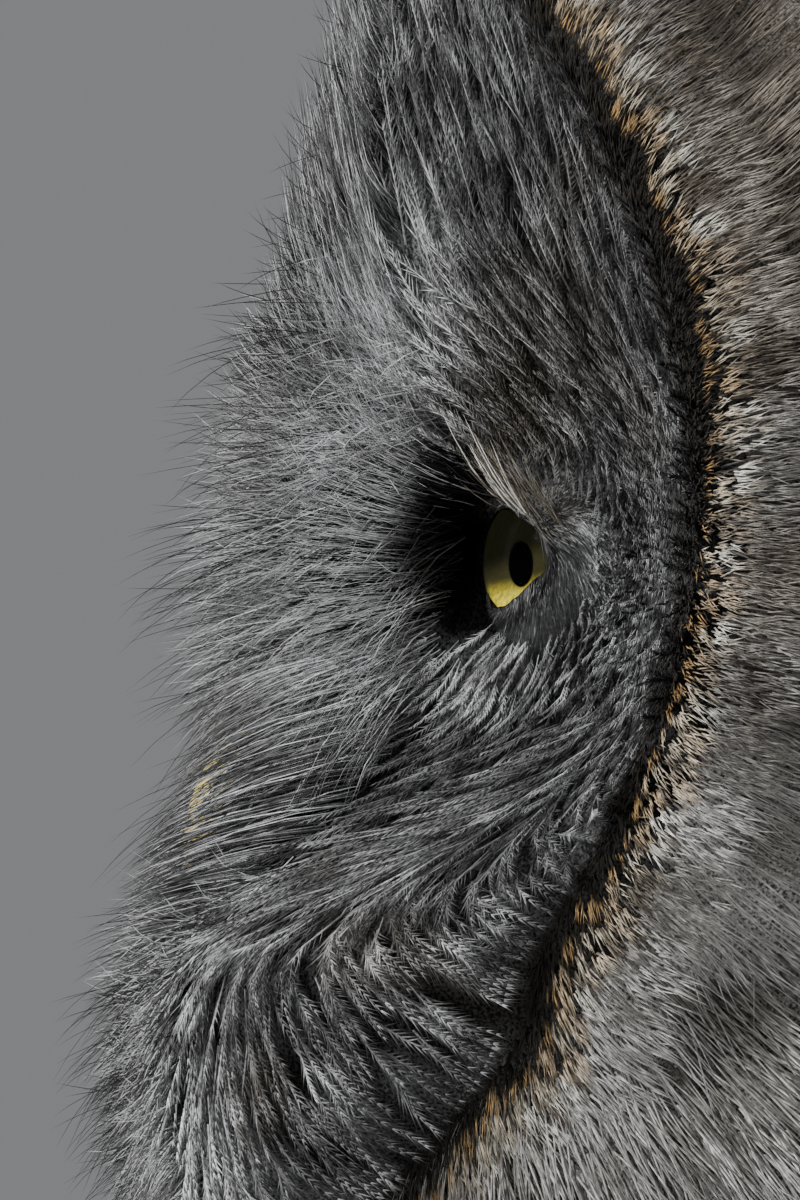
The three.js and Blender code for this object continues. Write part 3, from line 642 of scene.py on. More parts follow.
def tapered_form(rings, columns, tip):
    """Closed forms with a line of points along each corner, which all meet in the tip."""
    count, stations, _ = rings[0].shape
    sides = len(columns)
    body = np.stack(rings, axis=2)[:, :-1].reshape(count, -1, 3)
    last = sides * (stations - 2)
    corners = [(0, k, k + 1) for k in range(1, sides - 1)]
    for first in range(0, last, sides):
        for k in range(sides):
            a, b = first + k, first + (k + 1) % sides
            corners += [(a, a + sides, b), (b, a + sides, b + sides)]
    corners += [(last + k, last + sides, last + (k + 1) % sides) for k in range(sides)]
    share = np.append(np.repeat(np.linspace(0, 1, stations)[:-1], sides), 1)
    lateral = np.append(np.tile(np.array(columns, float), stations - 1), 0)
    points = np.concatenate([body, tip], axis=1)
    return points, np.array(corners), np.broadcast_to(share, (count, len(share))), lateral


triangle = (pi / 2, pi * 7 / 6, pi * 11 / 6)  # the corners of a hair or barb, seen end on


def hairs(path, outward, half, taper):
    """Fine tapered hairs of triangular section along paths, each closed and ending in a point."""
    up, across = path_frame(path, outward)
    widths = np.asarray(half).reshape(-1, 1, 1) * np.asarray(taper)[:, None]
    rings = [path + widths * (cos(turn) * across + 0.75 * sin(turn) * up) for turn in triangle]
    return tapered_form(rings, [0, 0, 0], path[:, -1:])


def spikes(start, tip, up, thick):
    """Straight fine barbs, each a closed spike of three sides: the points of each tuft, and its corners."""
    line = unit(tip - start)
    side = unit(np.cross(line, up))
    lift = np.cross(side, line)
    rings = [start + thick * (cos(turn) * side + 0.8 * sin(turn) * lift) for turn in triangle]
    points = np.stack([*rings, tip], axis=2).reshape(len(start), -1, 3)
    one = np.array([(0, 1, 2), (1, 0, 3), (2, 1, 3), (0, 2, 3)])
    corners = (one[None] + 4 * np.arange(start.shape[1])[:, None, None]).reshape(-1, 3)
    return points, corners


def varied(amount, shape):
    """Random factors round 1, each at most this much more or less."""
    return 1 + amount * (2 * chance.random(shape) - 1)


def barbs(path, outward, half_width, count, first, spread, thick, droop=0.5):
    """Free barbs to both sides of each shaft: fine spikes that lean towards the feather's tip."""
    shares = np.repeat(np.linspace(first, 1.0, count), 2)
    sides = np.tile([1.0, -1.0], count)
    root, heading, up = along_path(path, outward, shares)
    across = np.cross(heading, up) * sides[:, None]
    shape = (len(path), len(shares), 1)
    half_width = half_width.reshape(-1, 1, 1)
    fullness = np.sin(pi * np.clip(0.2 + 0.66 * shares, 0, 1)) ** 0.5
    length = half_width * 1.35 * fullness[:, None] * varied(0.35, shape)
    angle = (spread * mix(1.15, 0.45, shares**1.5))[:, None] * varied(0.4, shape)
    ahead = heading * np.cos(angle) + across * np.sin(angle)
    fall = droop * half_width * 0.4 * varied(0.8, shape)
    points, corners = spikes(root, root + ahead * length - up * fall, up, thick)
    lateral = np.stack([0 * sides, 0 * sides, 0 * sides, sides], axis=1).ravel()
    share = np.repeat(shares, 4)
    return points, corners, np.broadcast_to(share, (len(path), len(share))), lateral


def stack_parts(stems, fringes):
    """The shaft or vane of each feather and its barbs as one form."""
    points, share = (np.concatenate([stems[k], fringes[k]], axis=1) for k in (0, 2))
    corners = np.concatenate([stems[1], fringes[1] + stems[0].shape[1]])
    return points, corners, share, np.concatenate([stems[3], fringes[3]])


def head_patch(points):
    """Where a root lies on the head's skin, unrolled by angle round and angle back."""
    x, up, out = from_head(points)
    radius = np.hypot(x, up - disc_rise)
    round_head = np.arctan2(x, up - disc_rise) / (2 * pi) + 0.5
    back = np.arctan2(radius, out - widest_at) / pi
    return np.stack([0.03 + 0.94 * round_head, 0.03 + 0.94 * back], axis=-1)


def body_patch(points):
    """Where a root lies on the body's skin, unrolled by angle round its axis and height."""
    forwards = pupil_forwards + pupil_y - points[..., 1]
    angle = np.arctan2(points[..., 0], forwards + 30) / (2 * pi) + 0.5
    down = np.clip((pupil_z + 60 - points[..., 2]) / (pupil_z + 60), 0, 1)
    return np.stack([0.03 + 0.94 * angle, 0.03 + 0.94 * down], axis=-1)


tuft_patch = 0.003  # how wide each tuft's patch is on the unrolled skin


def coat_mesh(name, form, colours, patch):
    """One mesh of many tufts, with their colours and their patches of the unrolled skin."""
    points, corners, share, lateral = form
    count, size, _ = points.shape
    triangles = (corners[None] + size * np.arange(count)[:, None, None]).reshape(-1)
    mesh = bpy.data.meshes.new(name)
    mesh.vertices.add(count * size)
    mesh.vertices.foreach_set("co", (points * mm).astype(np.float32).ravel())
    mesh.loops.add(len(triangles))
    mesh.loops.foreach_set("vertex_index", triangles.astype(np.int32))
    mesh.polygons.add(len(triangles) // 3)
    mesh.polygons.foreach_set("loop_start", np.arange(0, len(triangles), 3, dtype=np.int32))
    mesh.update()
    mesh.shade_smooth()
    set_shade(mesh, colours.reshape(-1, 3))
    lateral = np.broadcast_to(lateral, (count, size))
    root = patch(points[:, 0])[:, None]
    spread = np.stack([lateral * tuft_patch / 2, (share - 0.5) * tuft_patch], axis=-1)
    bake = mesh.uv_layers.new(name="OFBake")
    bake.data.foreach_set("uv", (root + spread).reshape(-1, 2)[triangles].astype(np.float32).ravel())
    feather = mesh.uv_layers.new(name="feather")
    own = np.stack([0.5 + 0.5 * lateral, share], axis=-1).reshape(-1, 2)
    feather.data.foreach_set("uv", own[triangles].astype(np.float32).ravel())
    return mesh


def add_coat(name, form, colours, patch, material, slot, pieces=1):
    """The tufts as one or more pieces, in the order in which they are given."""
    points, corners, share, lateral = form
    bounds = np.linspace(0, len(points), pieces + 1).astype(int)
    for k, (a, b) in enumerate(zip(bounds[:-1], bounds[1:])):
        part = (points[a:b], corners, share[a:b], lateral)
        title = name if pieces == 1 else f"{name}_{k + 1}"
        add_piece(coat_mesh(title, part, colours[a:b], patch), material, slot)


def plume_colours(form, shade, shaft_glow, uneven, tuft=0.6, cores=0.0):
    """The plumage's colours where each point lies, with a paler shaft and no two barbs or tufts alike."""
    points, _, _, lateral = form
    colours = shade(points)
    barb = np.repeat(chance.random((len(points), -(-points.shape[1] // 4))), 4, axis=1)
    barb = barb[:, : points.shape[1]]
    glow = 1 + uneven * (barb - 0.5) + tuft * (chance.random((len(points), 1)) - 0.5)
    inner = np.abs(lateral) < 0.1
    glow = glow * np.where(inner, shaft_glow, 1.0) * mix(1.0, 0.6, np.abs(lateral))
    core = (chance.random((len(points), 1)) < cores) & inner
    return blend(colours * glow[..., None], colours + 0.2 * silver, 0.9 * core)


plumage = plumage_finish("loose_plumage")
disc_barbs = 12
first_ring, last_ring = 6.2, 105.0  # how far from the pupil the feathers' roots begin and end
both_sides = ((1, "left"), (-1, "right"))


def disc_roots(hand):
    """Roots in rings round the eye, from its lids out to the rim and in to the middle of the face."""
    x, up = [], []
    radius = first_ring
    while radius <= last_ring:
        gap = mix(1.4, 3.0, smooth(8, 36, radius))
        count = int(2 * pi * radius / (gap * 0.98))
        angle = 2 * pi * (np.arange(count) + 0.5 * (len(x) % 2)) / count
        distance = radius + gap * 0.5 * (2 * chance.random(count) - 1)
        angle = angle + gap / radius * 0.5 * (2 * chance.random(count) - 1)
        x.append(eye_side + distance * np.sin(angle))
        up.append(distance * np.cos(angle))
        radius += gap
    x, up = np.concatenate(x), np.concatenate(up)
    slope_x = (face_reach(x + 1, up) - face_reach(x - 1, up)) / 2
    slope_up = (face_reach(x, up + 1) - face_reach(x, up - 1)) / 2
    steep = np.sqrt(1 + slope_x**2 + slope_up**2)
    copies = np.floor(steep * mix(0.95, 1.1, smooth(-30, -50, up)) + chance.random(len(x))).astype(int)
    strewn = 1.3 * np.repeat(copies > 1, copies)
    x, up = np.repeat(x, copies), np.repeat(up, copies)
    x = x + strewn * (2 * chance.random(len(x)) - 1)
    up = up + strewn * (2 * chance.random(len(x)) - 1)
    keep = (x > 0.4) & (disc_share(x, up) < 0.965) & (up > -84)
    keep &= (x > eye_side - 2.0) | (np.hypot(x - eye_side, up) > 9.6)
    keep &= ~((x < 6.5) & (up > -37) & (up < -13))  # the bill's place
    return hand * x[keep], up[keep]


for hand, side_name in both_sides:
    x, up = disc_roots(hand)
    away_x, away_up = x - hand * eye_side, up
    from_eye = np.hypot(away_x, away_up)
    away_x, away_up = away_x / from_eye, away_up / from_eye
    inward = np.clip(-away_x * hand, 0, 1) * smooth(16, 2, np.abs(x))
    stray = mix(0.1, 0.2, smooth(10, 30, from_eye))
    away_x = away_x + hand * inward + stray * chance.normal(size=len(x))
    away_up = away_up + stray * 0.5 * chance.normal(size=len(x))
    length = mix(5.6, 13.0, smooth(8, 36, from_eye)) * varied(0.2, len(x))
    tip_x, tip_up = x + away_x * length, up + away_up * length
    over_face = np.linalg.norm(disc_point(tip_x, tip_up, 0.0) - disc_point(x, up, 0.0), axis=-1)
    drawn_in = np.minimum(1, length / over_face)
    tip_x, tip_up = mix(x, tip_x, drawn_in), mix(up, tip_up, drawn_in)
    over = np.maximum(1, disc_share(tip_x, tip_up) / 0.995)
    tip_x, tip_up = tip_x / over, disc_rise + (tip_up - disc_rise) / over
    order = np.argsort(from_eye)
    x, up, tip_x, tip_up, from_eye = (v[order] for v in (x, up, tip_x, tip_up, from_eye))
    rise = 0.4 + 0.9 * chance.random(len(x)) + 2.6 * chance.random(len(x)) * smooth(-42, -66, up)
    sunk = mix(-1.0, -2.4, smooth(9, 20, from_eye))
    path, outward = trace(disc_point, (x, up), (tip_x, tip_up), (sunk, rise), 5)
    half_width = mix(0.9, 2.1, smooth(8, 38, from_eye)) * varied(0.25, len(x))
    shafts = hairs(path[:, ::2], outward[:, ::2], mix(0.10, 0.18, smooth(8, 40, from_eye)), [1, 0.95, 0])
    fringes = barbs(path, outward, half_width, disc_barbs, first=0.25, spread=0.56, thick=0.14)
    form = stack_parts(shafts, fringes)
    colours = plume_colours(form, disc_shade, 1.25, 0.6, 0.8, 0.16)
    add_coat(f"disc_{side_name}", form, colours, head_patch, plumage, "face_plumage", pieces=3)

# Bristles of the face
# Stiff hair-like bristles stand forwards from the ridge between the eyes, fanned out from in front of
# them, and from brow and chin, where they are longer and softer. Single black whiskers stand out past
# them, and bristles from both sides hide the root of the bill.


def bent_hairs(root, bend, tip, outward, half, taper):
    """Hairs bent past a point between root and tip, with as many stations as the taper has widths."""
    s = np.linspace(0, 1, len(taper))[:, None]
    path = (1 - s) ** 2 * root[:, None] + 2 * s * (1 - s) * bend[:, None] + s * s * tip[:, None]
    return hairs(path, unit(path * 0 + outward), half, taper)


def bristle_form(count, up_from, up_to, reach_x, rise, beyond, half, lean):
    """Bristles whose tips keep to the face's outline, seen from the side."""
    up = mix(up_from, up_to, chance.random(count))
    side = np.where(chance.random(count) < 0.5, -1, 1)
    x = side * reach_x * chance.random(count) ** 0.8
    share = (up - up_from) / (up_to - up_from)
    lift = mix(rise[0], rise[1], share) + 3.0 * chance.normal(size=count)
    inner = 1 - smooth(0, reach_x, np.abs(x))
    room = middle_reach(up + lift, 2) - middle_reach(up)
    long = mix(beyond[0], beyond[1], inner) * (0.5 + 0.55 * chance.random(count)) * room
    long = np.maximum(2.0, long)
    surface = face_reach(x, up)
    aside = side * mix(3.5, 0.5, inner) + 1.2 * chance.normal(size=count)
    root = head_point(x, up - 0.2 * lift, surface - 3.0)
    tip = head_point(x + aside, up + lift, surface + long)
    bend = head_point(x + 0.3 * aside, up + 0.25 * lift + lean, surface + 0.62 * long)
    outward = np.array((0, 0, 1.0)) + 0.2 * chance.normal(size=(count, 1, 3))
    return bent_hairs(root, bend, tip, outward, half * (0.7 + 0.6 * chance.random(count)), [1, 0.9, 0.6, 0])


def bristle_colours(form, pale):
    """Bristles are banded like the disc behind them, some all black and some nearly white."""
    points = form[0]
    kind = chance.random((len(points), 1, 1))
    colours = blend(soot, silver * 0.75, smooth(0.35, 0.65, mottle(points, 6.0, 41)))
    colours = np.where(kind < 0.34, black * 1.5, colours)
    colours = np.where(kind > 1 - pale, silver * 1.45, colours)
    colours = mix(colours, disc_shade(points), 0.3 + 0.4 * pale_zones(points)[..., None])
    colours = colours * (0.7 + 0.6 * chance.random((len(points), 1, 1)))
    colours = colours * mix(1.15, 0.6, smooth(0.5, 1.0, form[2]))[..., None]
    return blend(colours, black, 0.95 * eye_shadow(points))


def whiskers(count, up_from, up_to, rise):
    """Single long black hairs that stand out past the rest."""
    up = mix(up_from, up_to, chance.random(count))
    x = 12.0 * (2 * chance.random(count) - 1)
    lift = mix(rise[0], rise[1], (up - up_from) / (up_to - up_from)) + 3.0 * chance.normal(size=count)
    reach = middle_reach(up + lift, 2) + mix(-3.0, 4.5, chance.random(count) ** 1.5)
    surface = face_reach(x, up)
    root = head_point(x, up - 0.2 * lift, surface - 1.0)
    bend = head_point(1.1 * x, up + 0.2 * lift, mix(surface, reach, 0.6))
    tip = head_point(1.2 * x, up + lift, reach)
    half = 0.055 + 0.03 * chance.random(count)
    return bent_hairs(root, bend, tip, np.array((0.3, 0, 1.0)), half, [1, 1, 1, 0.8, 0.6, 0])


bristles = plumage_finish("bristles", 0.45)

# Count, heights of first and last root, width, rise of first and last tip, share of the way out to the
# outline at the side and in the middle, half thickness, rise of the bend; and the share of white ones
bristle_kinds = (
    ("fan", (6600, 44, -20, 17.0, (9, -8), (0.5, 1.0), 0.10, 0.0), 0.24),
    ("chin", (4200, -36, -82, 22.0, (-3, -6), (0.45, 1.05), 0.12, -1.5), 0.3),
    ("brow", (2100, 84, 40, 15.0, (6, 9), (0.6, 1.1), 0.11, 0.0), 0.2),
)
for title, sizes, pale in bristle_kinds:
    form = bristle_form(*sizes)
    add_coat(f"bristles_{title}", form, bristle_colours(form, pale), head_patch, bristles, "face_plumage")
for title, sizes in (("upper", (420, 84, -26, (12, -10))), ("lower", (260, -40, -84, (-4, -9)))):
    form = whiskers(*sizes)
    colours = np.broadcast_to(black * 1.5, form[0].shape)
    add_coat(f"whiskers_{title}", form, colours, head_patch, bristles, "face_plumage")

# Those beside the bill lean over it from both sides and leave little of it showing
count = 2200
up = mix(-9.0, -43.0, chance.random(count))
side = np.where(chance.random(count) < 0.5, -1, 1)
x = side * mix(6.0, 16.0, chance.random(count))
drop = mix(5.0, 10.0, chance.random(count)) * smooth(-46, -20, up) + 2.0
reach = middle_reach(up - drop, 2) * mix(0.7, 0.98, chance.random(count) ** 0.8)
root = head_point(x, up, face_reach(x, up) - 2.5)
bend = head_point(x * 1.02 + side * 1.5, up - 0.2 * drop, mix(face_reach(x, up), reach, 0.6))
tip = head_point(x * 0.5 + side * 3.0 * chance.random(count), up - drop, reach)
outward = side[:, None, None] * np.array((1.0, 0, 0))
form = bent_hairs(root, bend, tip, outward, 0.1 * (0.8 + 0.6 * chance.random(count)), [1, 1, 0.85, 0.5, 0])
add_coat("bristles_bill", form, bristle_colours(form, 0.22), head_patch, bristles, "face_plumage")

# Eyes
# Each eye is a dark ball turned outwards, with a cupped yellow iris round a black pupil, and a clear,
# wet bulge in front. Together they stand where the solid eye does.

yellow = np.array((0.72, 0.60, 0.055))
olive = np.array((0.16, 0.15, 0.03))
iris_edge = 7.8
pupil_edge = 2.65
iris_cup = 6.5  # how far before the ball's middle the iris' edge stands
bulge_rise = 2.2

# From the back of the ball round to the iris, and on to the bottom of the pupil
ball_outline = [(eye_ball * sin(a), -eye_ball * cos(a)) for a in np.linspace(0, 1.8, 16)]
ball_outline += [(8.35, 4.0), (8.25, 5.8), (8.05, 6.35), (iris_edge, iris_cup), (6.2, 6.36), (4.4, 6.25)]
ball_outline += [(3.0, 6.2), (pupil_edge, 6.16), (2.5, 5.8), (1.4, 5.5), (0, 5.4)]
dome = (iris_edge**2 + bulge_rise**2) / (2 * bulge_rise)
dome_turns = np.linspace(0, np.arcsin(iris_edge / dome), 12)
dome_outline = [(dome * sin(a), iris_cup + bulge_rise - dome * (1 - cos(a))) for a in dome_turns]
dome_outline += [(0.94 * r, ahead - 0.25) for r, ahead in dome_outline[::-1]]


def eye_point(hand, aside, up, ahead):
    """A place given from the middle of the ball: towards the outer corner, up, and along its axis."""
    x = hand * (eye_side - iris_depth * sin(eye_turn) + aside * cos(eye_turn) + ahead * sin(eye_turn))
    out = (ahead - iris_depth) * cos(eye_turn) - aside * sin(eye_turn)
    return head_point(x, up, out)


def turned_mesh(name, outline, steps, hand):
    """An outline of radius and height is spun into a closed form and stood on the eye's axis."""
    turning = bmesh.new()
    line = [turning.verts.new((r, 0, ahead)) for r, ahead in outline]
    for a, b in zip(line, line[1:]):
        turning.edges.new((a, b))
    bmesh.ops.spin(
        turning, geom=turning.verts[:] + turning.edges[:], cent=(0, 0, 0), axis=(0, 0, 1),
        angle=2 * pi, steps=steps, use_merge=True,
    )
    bmesh.ops.remove_doubles(turning, verts=turning.verts, dist=0.001)
    local = np.array([v.co for v in turning.verts])
    place_all(turning.verts, eye_point(hand, *local.T))
    mesh = finished_mesh(name, turning)
    kept = mesh.attributes.new("eye_place", "FLOAT_VECTOR", "POINT")
    kept.data.foreach_set("vector", local.astype(np.float32).ravel())
    return mesh


def iris_finish():
    """Yellow with fine fibres and an olive edge round a black pupil, with a painted shadow of the brow over
    its upper part.
    """
    material, shader, wire = new_finish("iris", 0.5, Specular_IOR_Level=0.0)
    place = wire.node("ShaderNodeAttribute", {"attribute_name": "eye_place"}, out=1)
    flat = wire.vector("MULTIPLY", {0: place, 1: (1, 1, 0)})
    radius = wire.vector("LENGTH", {0: flat}, out=1)
    spokes = wire.vector("SCALE", {0: wire.vector("NORMALIZE", {0: flat}), "Scale": 9.0})
    depth = wire.node("ShaderNodeCombineXYZ", inputs={"Z": radius * 0.9})
    fibres = wire.noise(wire.vector("ADD", {0: spokes, 1: depth}), 1.6, 4.0)
    lit = wire.colour_mix(yellow * 0.55, yellow, fibres.ramp(0.35, 0.62))
    edge = wire.colour_mix(lit, olive, radius.ramp(6.9, 7.6))
    inner = wire.colour_mix(edge, olive, 0.6 * radius.ramp(3.1, 2.7))
    up, aside = place.part(1), place.part(0)
    # painted shadow of the brow: the iris darkens upwards, to near black at its top
    brow_shadow_colour = np.array((0.020, 0.0195, 0.010))
    shaded = wire.colour_mix(inner, brow_shadow_colour, 0.99 * (up - 0.1 * aside).ramp(-4.8, -1.1))
    brow_shadowed = wire.colour_mix(shaded, brow_shadow_colour * 0.28, (up - 0.25 * aside).ramp(-0.8, 2.4))
    rim = radius + 0.075 * aside
    dark = rim.ramp(7.0, 7.25) + radius.ramp(2.72, 2.62)
    final = wire.colour_mix(brow_shadowed, black * 0.1, wire.math("MINIMUM", dark, 1.0))
    wire.finish(shader, final, fibres, 0.00008, 0.7)
    return material


def clear_finish():
    """A thin wet shell: seen through, with the studio's lights mirrored in it."""
    material, shader, wire = new_finish("clear_eye", 0.02)
    clear = wire.node("ShaderNodeBsdfTransparent")
    gloss = wire.node("ShaderNodeBsdfGlossy", inputs={"Roughness": 0.06})
    facing = wire.node("ShaderNodeFresnel", inputs={"IOR": 1.25})
    shown = wire.node("ShaderNodeMixShader", inputs={0: 0.02 * facing, 1: clear, 2: gloss})
    output = material.node_tree.nodes["Material Output"]
    wire.tree.links.new(shown.socket, output.inputs["Surface"])
    material.node_tree.nodes.remove(shader)
    return material


iris_look = iris_finish()
clear_look = clear_finish()
for hand, side_name in both_sides:
    ball_mesh = turned_mesh(f"eyeball_{side_name}", ball_outline, 64, hand)
    add_piece(ball_mesh, iris_look, "eyes", f"eye_{side_name}")
    add_piece(turned_mesh(f"clear_eye_{side_name}", dome_outline, 48, hand), clear_look, "eyes")

# Eyelids
# Thin black lids lie over the front of each ball and leave an opening that is highest in the middle and
# pointed behind. Small feathers grow on them up to the edge, pale lashes over it, black ones before it.

# Angle round the opening from its outer corner over the top, and how far its edge lies from the middle
lid_opening = np.array([
    (-180, 8.8),
    (-160, 8.4),
    (-130, 6.6),
    (-99, 5.05),
    (-59, 4.8),
    (-33, 5.4),
    (-17, 6.1),
    (-8, 7.0),
    (9, 7.6),
    (32, 6.9),
    (64, 6.0),
    (90, 6.5),
    (112, 7.3),
    (150, 8.7),
    (180, 8.8),
])
lid_shell = 10.15
lid_near = 0.65  # about where the lids begin on the ball, in radians from the middle of the opening
lid_far = 1.8  # and where they end


def lid_point(hand, around, along, height):
    """A point over the lids: angle round the opening, share of the way from its edge round the ball."""
    degrees = (np.degrees(around) + 180) % 360 - 180
    opening = np.interp(degrees, lid_opening[:, 0], lid_opening[:, 1])
    polar = mix(np.arcsin(opening / lid_shell), lid_far, along)
    reach = lid_shell + height
    flat = reach * np.sin(polar)
    return eye_point(hand, flat * np.cos(around), flat * np.sin(around), reach * np.cos(polar))


def along_of_vertex(hand, points):
    """How far a point of the lids lies from the opening, as a share of the way round the ball."""
    middle = eye_point(hand, 0.0, 0.0, 0.0)
    axis = unit(eye_point(hand, 0.0, 0.0, 1.0) - middle)
    polar = np.arccos(np.clip(unit(points - middle) @ axis, -1, 1))
    return np.clip((polar - lid_near) / (lid_far - lid_near), 0, 1)


def pile(start, tip, up, thick):
    """Tufts of fine barbs without a shaft, as in velvet."""
    points, corners = spikes(start, tip, up, thick)
    share = np.tile([0.0, 0.0, 0.0, 1.0], start.shape[1])
    return points, corners, np.broadcast_to(share, (len(start), len(share))), 0 * share


def pile_colours(form, shade, uneven, tuft):
    """Each barb has one colour, the plumage's where its outer half lies, and is darker at its root."""
    points = form[0]
    middle = mix(points[:, 0::4], points[:, 3::4], 0.7)
    glow = 1 + uneven * (chance.random(middle.shape[:2]) - 0.5)
    glow = glow + tuft * (chance.random((len(points), 1)) - 0.5)
    colours = np.repeat(shade(middle) * glow[..., None], 4, axis=1)
    return colours * np.tile([0.6, 0.6, 0.6, 1.1], middle.shape[1])[:, None]


dull_bristles = plumage_finish("dull_bristles", 0.8, gloss=0.05)
lid_look = plumage_finish("lid_skin", 0.8, 2500.0, 0.0002, gloss=0.03)
for hand, side_name in both_sides:
    fold = bmesh.new()
    bmesh.ops.create_grid(fold, x_segments=96, y_segments=20, size=1)
    flat = np.array([v.co for v in fold.verts])
    section = (flat[:, 1] + 1) * pi
    along = (0.5 - 0.5 * np.cos(section)) ** 1.6
    height = 0.55 * np.sin(section) - 0.35 + 0.35 * np.exp(-along / 0.05)
    place_all(fold.verts, lid_point(hand, flat[:, 0] * pi, along, height))
    lid_mesh = finished_mesh(f"lids_{side_name}", fold, same_place)
    lid_places = mesh_points(lid_mesh)
    bare = smooth(0.1, 0.25, along_of_vertex(hand, lid_places))
    bare = bare * (1 - smooth(1, 3, from_head(lid_places)[2]))
    set_shade(lid_mesh, blend(black, 0.5 * disc_shade(lid_places), bare))
    add_piece(lid_mesh, lid_look, "face_plumage")

    # Small feathers on the lids
    around, along = [], []
    for number, row in enumerate(np.arange(0.015, 0.86, 0.07)):
        count = int(mix(50, 72, row))
        at = np.arange(count) + 0.5 * (number % 2) + 0.5 * (chance.random(count) - 0.5)
        around.append(2 * pi * at / count - pi)
        along.append(np.full(count, row) + 0.03 * (chance.random(count) - 0.5))
    around, along = np.concatenate(around), np.concatenate(along)
    degrees = np.degrees(around)
    swing = mix(-0.55, 0.5, smooth(34, 72, degrees + 10 * chance.normal(size=len(degrees))))
    swing = swing * smooth(175, 140, np.abs(degrees))
    shape = (len(around), 11)
    spread_round = around[:, None] + 0.13 * (chance.random(shape) - 0.5)
    spread_along = np.maximum(0.01, along[:, None] + 0.09 * (chance.random(shape) - 0.5))
    reach = mix(0.17, 0.42, along)[:, None] * (0.8 + 0.5 * chance.random(shape))
    turn = swing[:, None] + 0.12 * chance.normal(size=shape)
    skirt = 3.4 * smooth(60, -20, degrees)[:, None]  # they spread over the hollow behind and below
    low_end = 0.12 + skirt * smooth(0.1, 0.9, spread_along)
    high_end = 0.6 + 0.7 * chance.random(shape) + skirt * smooth(0.05, 0.8, spread_along + reach)
    start = lid_point(hand, spread_round, spread_along, low_end)
    tip = lid_point(hand, spread_round + turn, spread_along + reach, high_end)
    outward = unit(lid_point(hand, spread_round, spread_along, 3.0) - start)
    form = pile(start, tip, outward, 0.12)
    colours = pile_colours(form, lambda points: 0.85 * disc_shade(points) + 0.05 * silver, 0.8, 0.9)
    below = smooth(-170, -125, degrees) * smooth(25, -25, degrees) * smooth(0.0, 0.06, along)
    streaks = mix(0.15, 1.0, chance.random((len(around), 1)))
    colours = blend(colours, silver, 0.7 * below[:, None] * streaks)
    above_lid = smooth(15, 45, degrees) * smooth(130, 95, degrees)
    colours = blend(colours, np.array((0.36, 0.35, 0.32)), 0.6 * above_lid[:, None] * streaks)
    _, high, out = from_head(form[0])
    before = smooth(1.6, 3.2, out) * smooth(-8.0, -6.0, high)
    edge = np.maximum(0.8 * smooth(0.03, 0.005, along)[:, None], before)
    colours = blend(colours, black, 0.95 * edge)
    add_coat(f"lid_feathers_{side_name}", form, colours, head_patch, plumage, "face_plumage")

    # Pale lashes sweep forwards and up from the upper lid
    count = 100
    around = np.radians(mix(15, 125, chance.random(count)))
    along = 0.04 + 0.34 * chance.random(count)
    strong = (np.arange(count) % 10 == 0)[:, None]
    along = np.where(strong[:, 0], 0.02 + 0.1 * chance.random(count), along)
    root = lid_point(hand, around, along, -0.3)
    long = (5.5 + 4.5 * chance.random(count) * np.where(strong[:, 0], 1.1, 0.8))[:, None]
    lift = np.where(strong[:, 0], 0.8, 0.62) + 0.2 * np.abs(chance.normal(size=count))
    lift = (lift + 0.45 * smooth(70, 25, np.degrees(around)))[:, None]
    ahead = np.array((0.18 * hand, -0.75, 0.0)) + 0.1 * chance.normal(size=(count, 3))
    bend = root + long * (0.5 * ahead + np.array((0.1 * hand, 0, 0.28)) * lift)
    tip = root + long * (ahead + np.array((0.1 * hand, 0, 1.0)) * lift)
    outward, half = np.array((hand, 0, 0.3)), np.where(strong[:, 0], 0.17, 0.07)
    form = bent_hairs(root, bend, tip, outward, half, [1, 0.95, 0.75, 0.4, 0])
    tone = np.where(chance.random((count, 1)) < 0.4, soot, np.array((0.24, 0.21, 0.16)))
    tone = np.where(strong, np.array((0.62, 0.60, 0.55)), tone)
    colours = np.broadcast_to(tone[:, None], form[0].shape)
    add_coat(f"lashes_{side_name}", form, colours, head_patch, bristles, "face_plumage")

    # Black bristles fill the hollow before the eye
    count = 900
    turn = np.radians(mix(-38, 66, chance.random(count)))
    radius = mix(9.0, 14.0, chance.random(count))
    x = eye_side - radius * np.cos(turn)
    up = radius * np.sin(turn)
    long = 4.5 + 4.5 * chance.random(count)
    surface = face_reach(x, up)
    fan_up = up + long * (0.55 * np.sin(turn) + 0.12 * chance.normal(size=count))
    away = 1.5 + 1.6 * chance.random(count)
    root = head_point(hand * x, up, surface - 2.0)
    bend = head_point(hand * (x + away), mix(up, fan_up, 0.4), surface + 0.55 * long)
    tip = head_point(hand * (x + away * 0.9), fan_up, surface + long)
    half = 0.09 * (0.7 + 0.6 * chance.random(count))
    form = bent_hairs(root, bend, tip, np.array((hand, 0, 0.2)), half, [1, 0.9, 0.6, 0])
    tone = np.where(chance.random((count, 1)) < 0.07, silver * 0.6, black * 0.8)
    ends = smooth(11.5, 15.5, from_head(form[0])[2]) * (away > 2.3)[:, None]
    colours = blend(np.broadcast_to(tone[:, None], form[0].shape), silver * 0.8, 0.8 * ends)
    add_coat(f"eye_bristles_{side_name}", form, colours, head_patch, dull_bristles, "face_plumage")

# Bill
# A short, hooked bill of yellow horn stands out of the bristles: the upper half arches over and down
# past the straighter lower half, with a small nostril to each side of its root.

bill_out, bill_up = 14.0, -17.0  # where its root stands, forwards and above the middle of the pupils


def arc_line(slope, length):
    """How far a line with this slope at each of its steps has gone ahead, and up."""
    steps = len(slope) - 1
    return [np.append(0, np.cumsum(way(slope[1:]))) * length / steps for way in (np.cos, np.sin)]


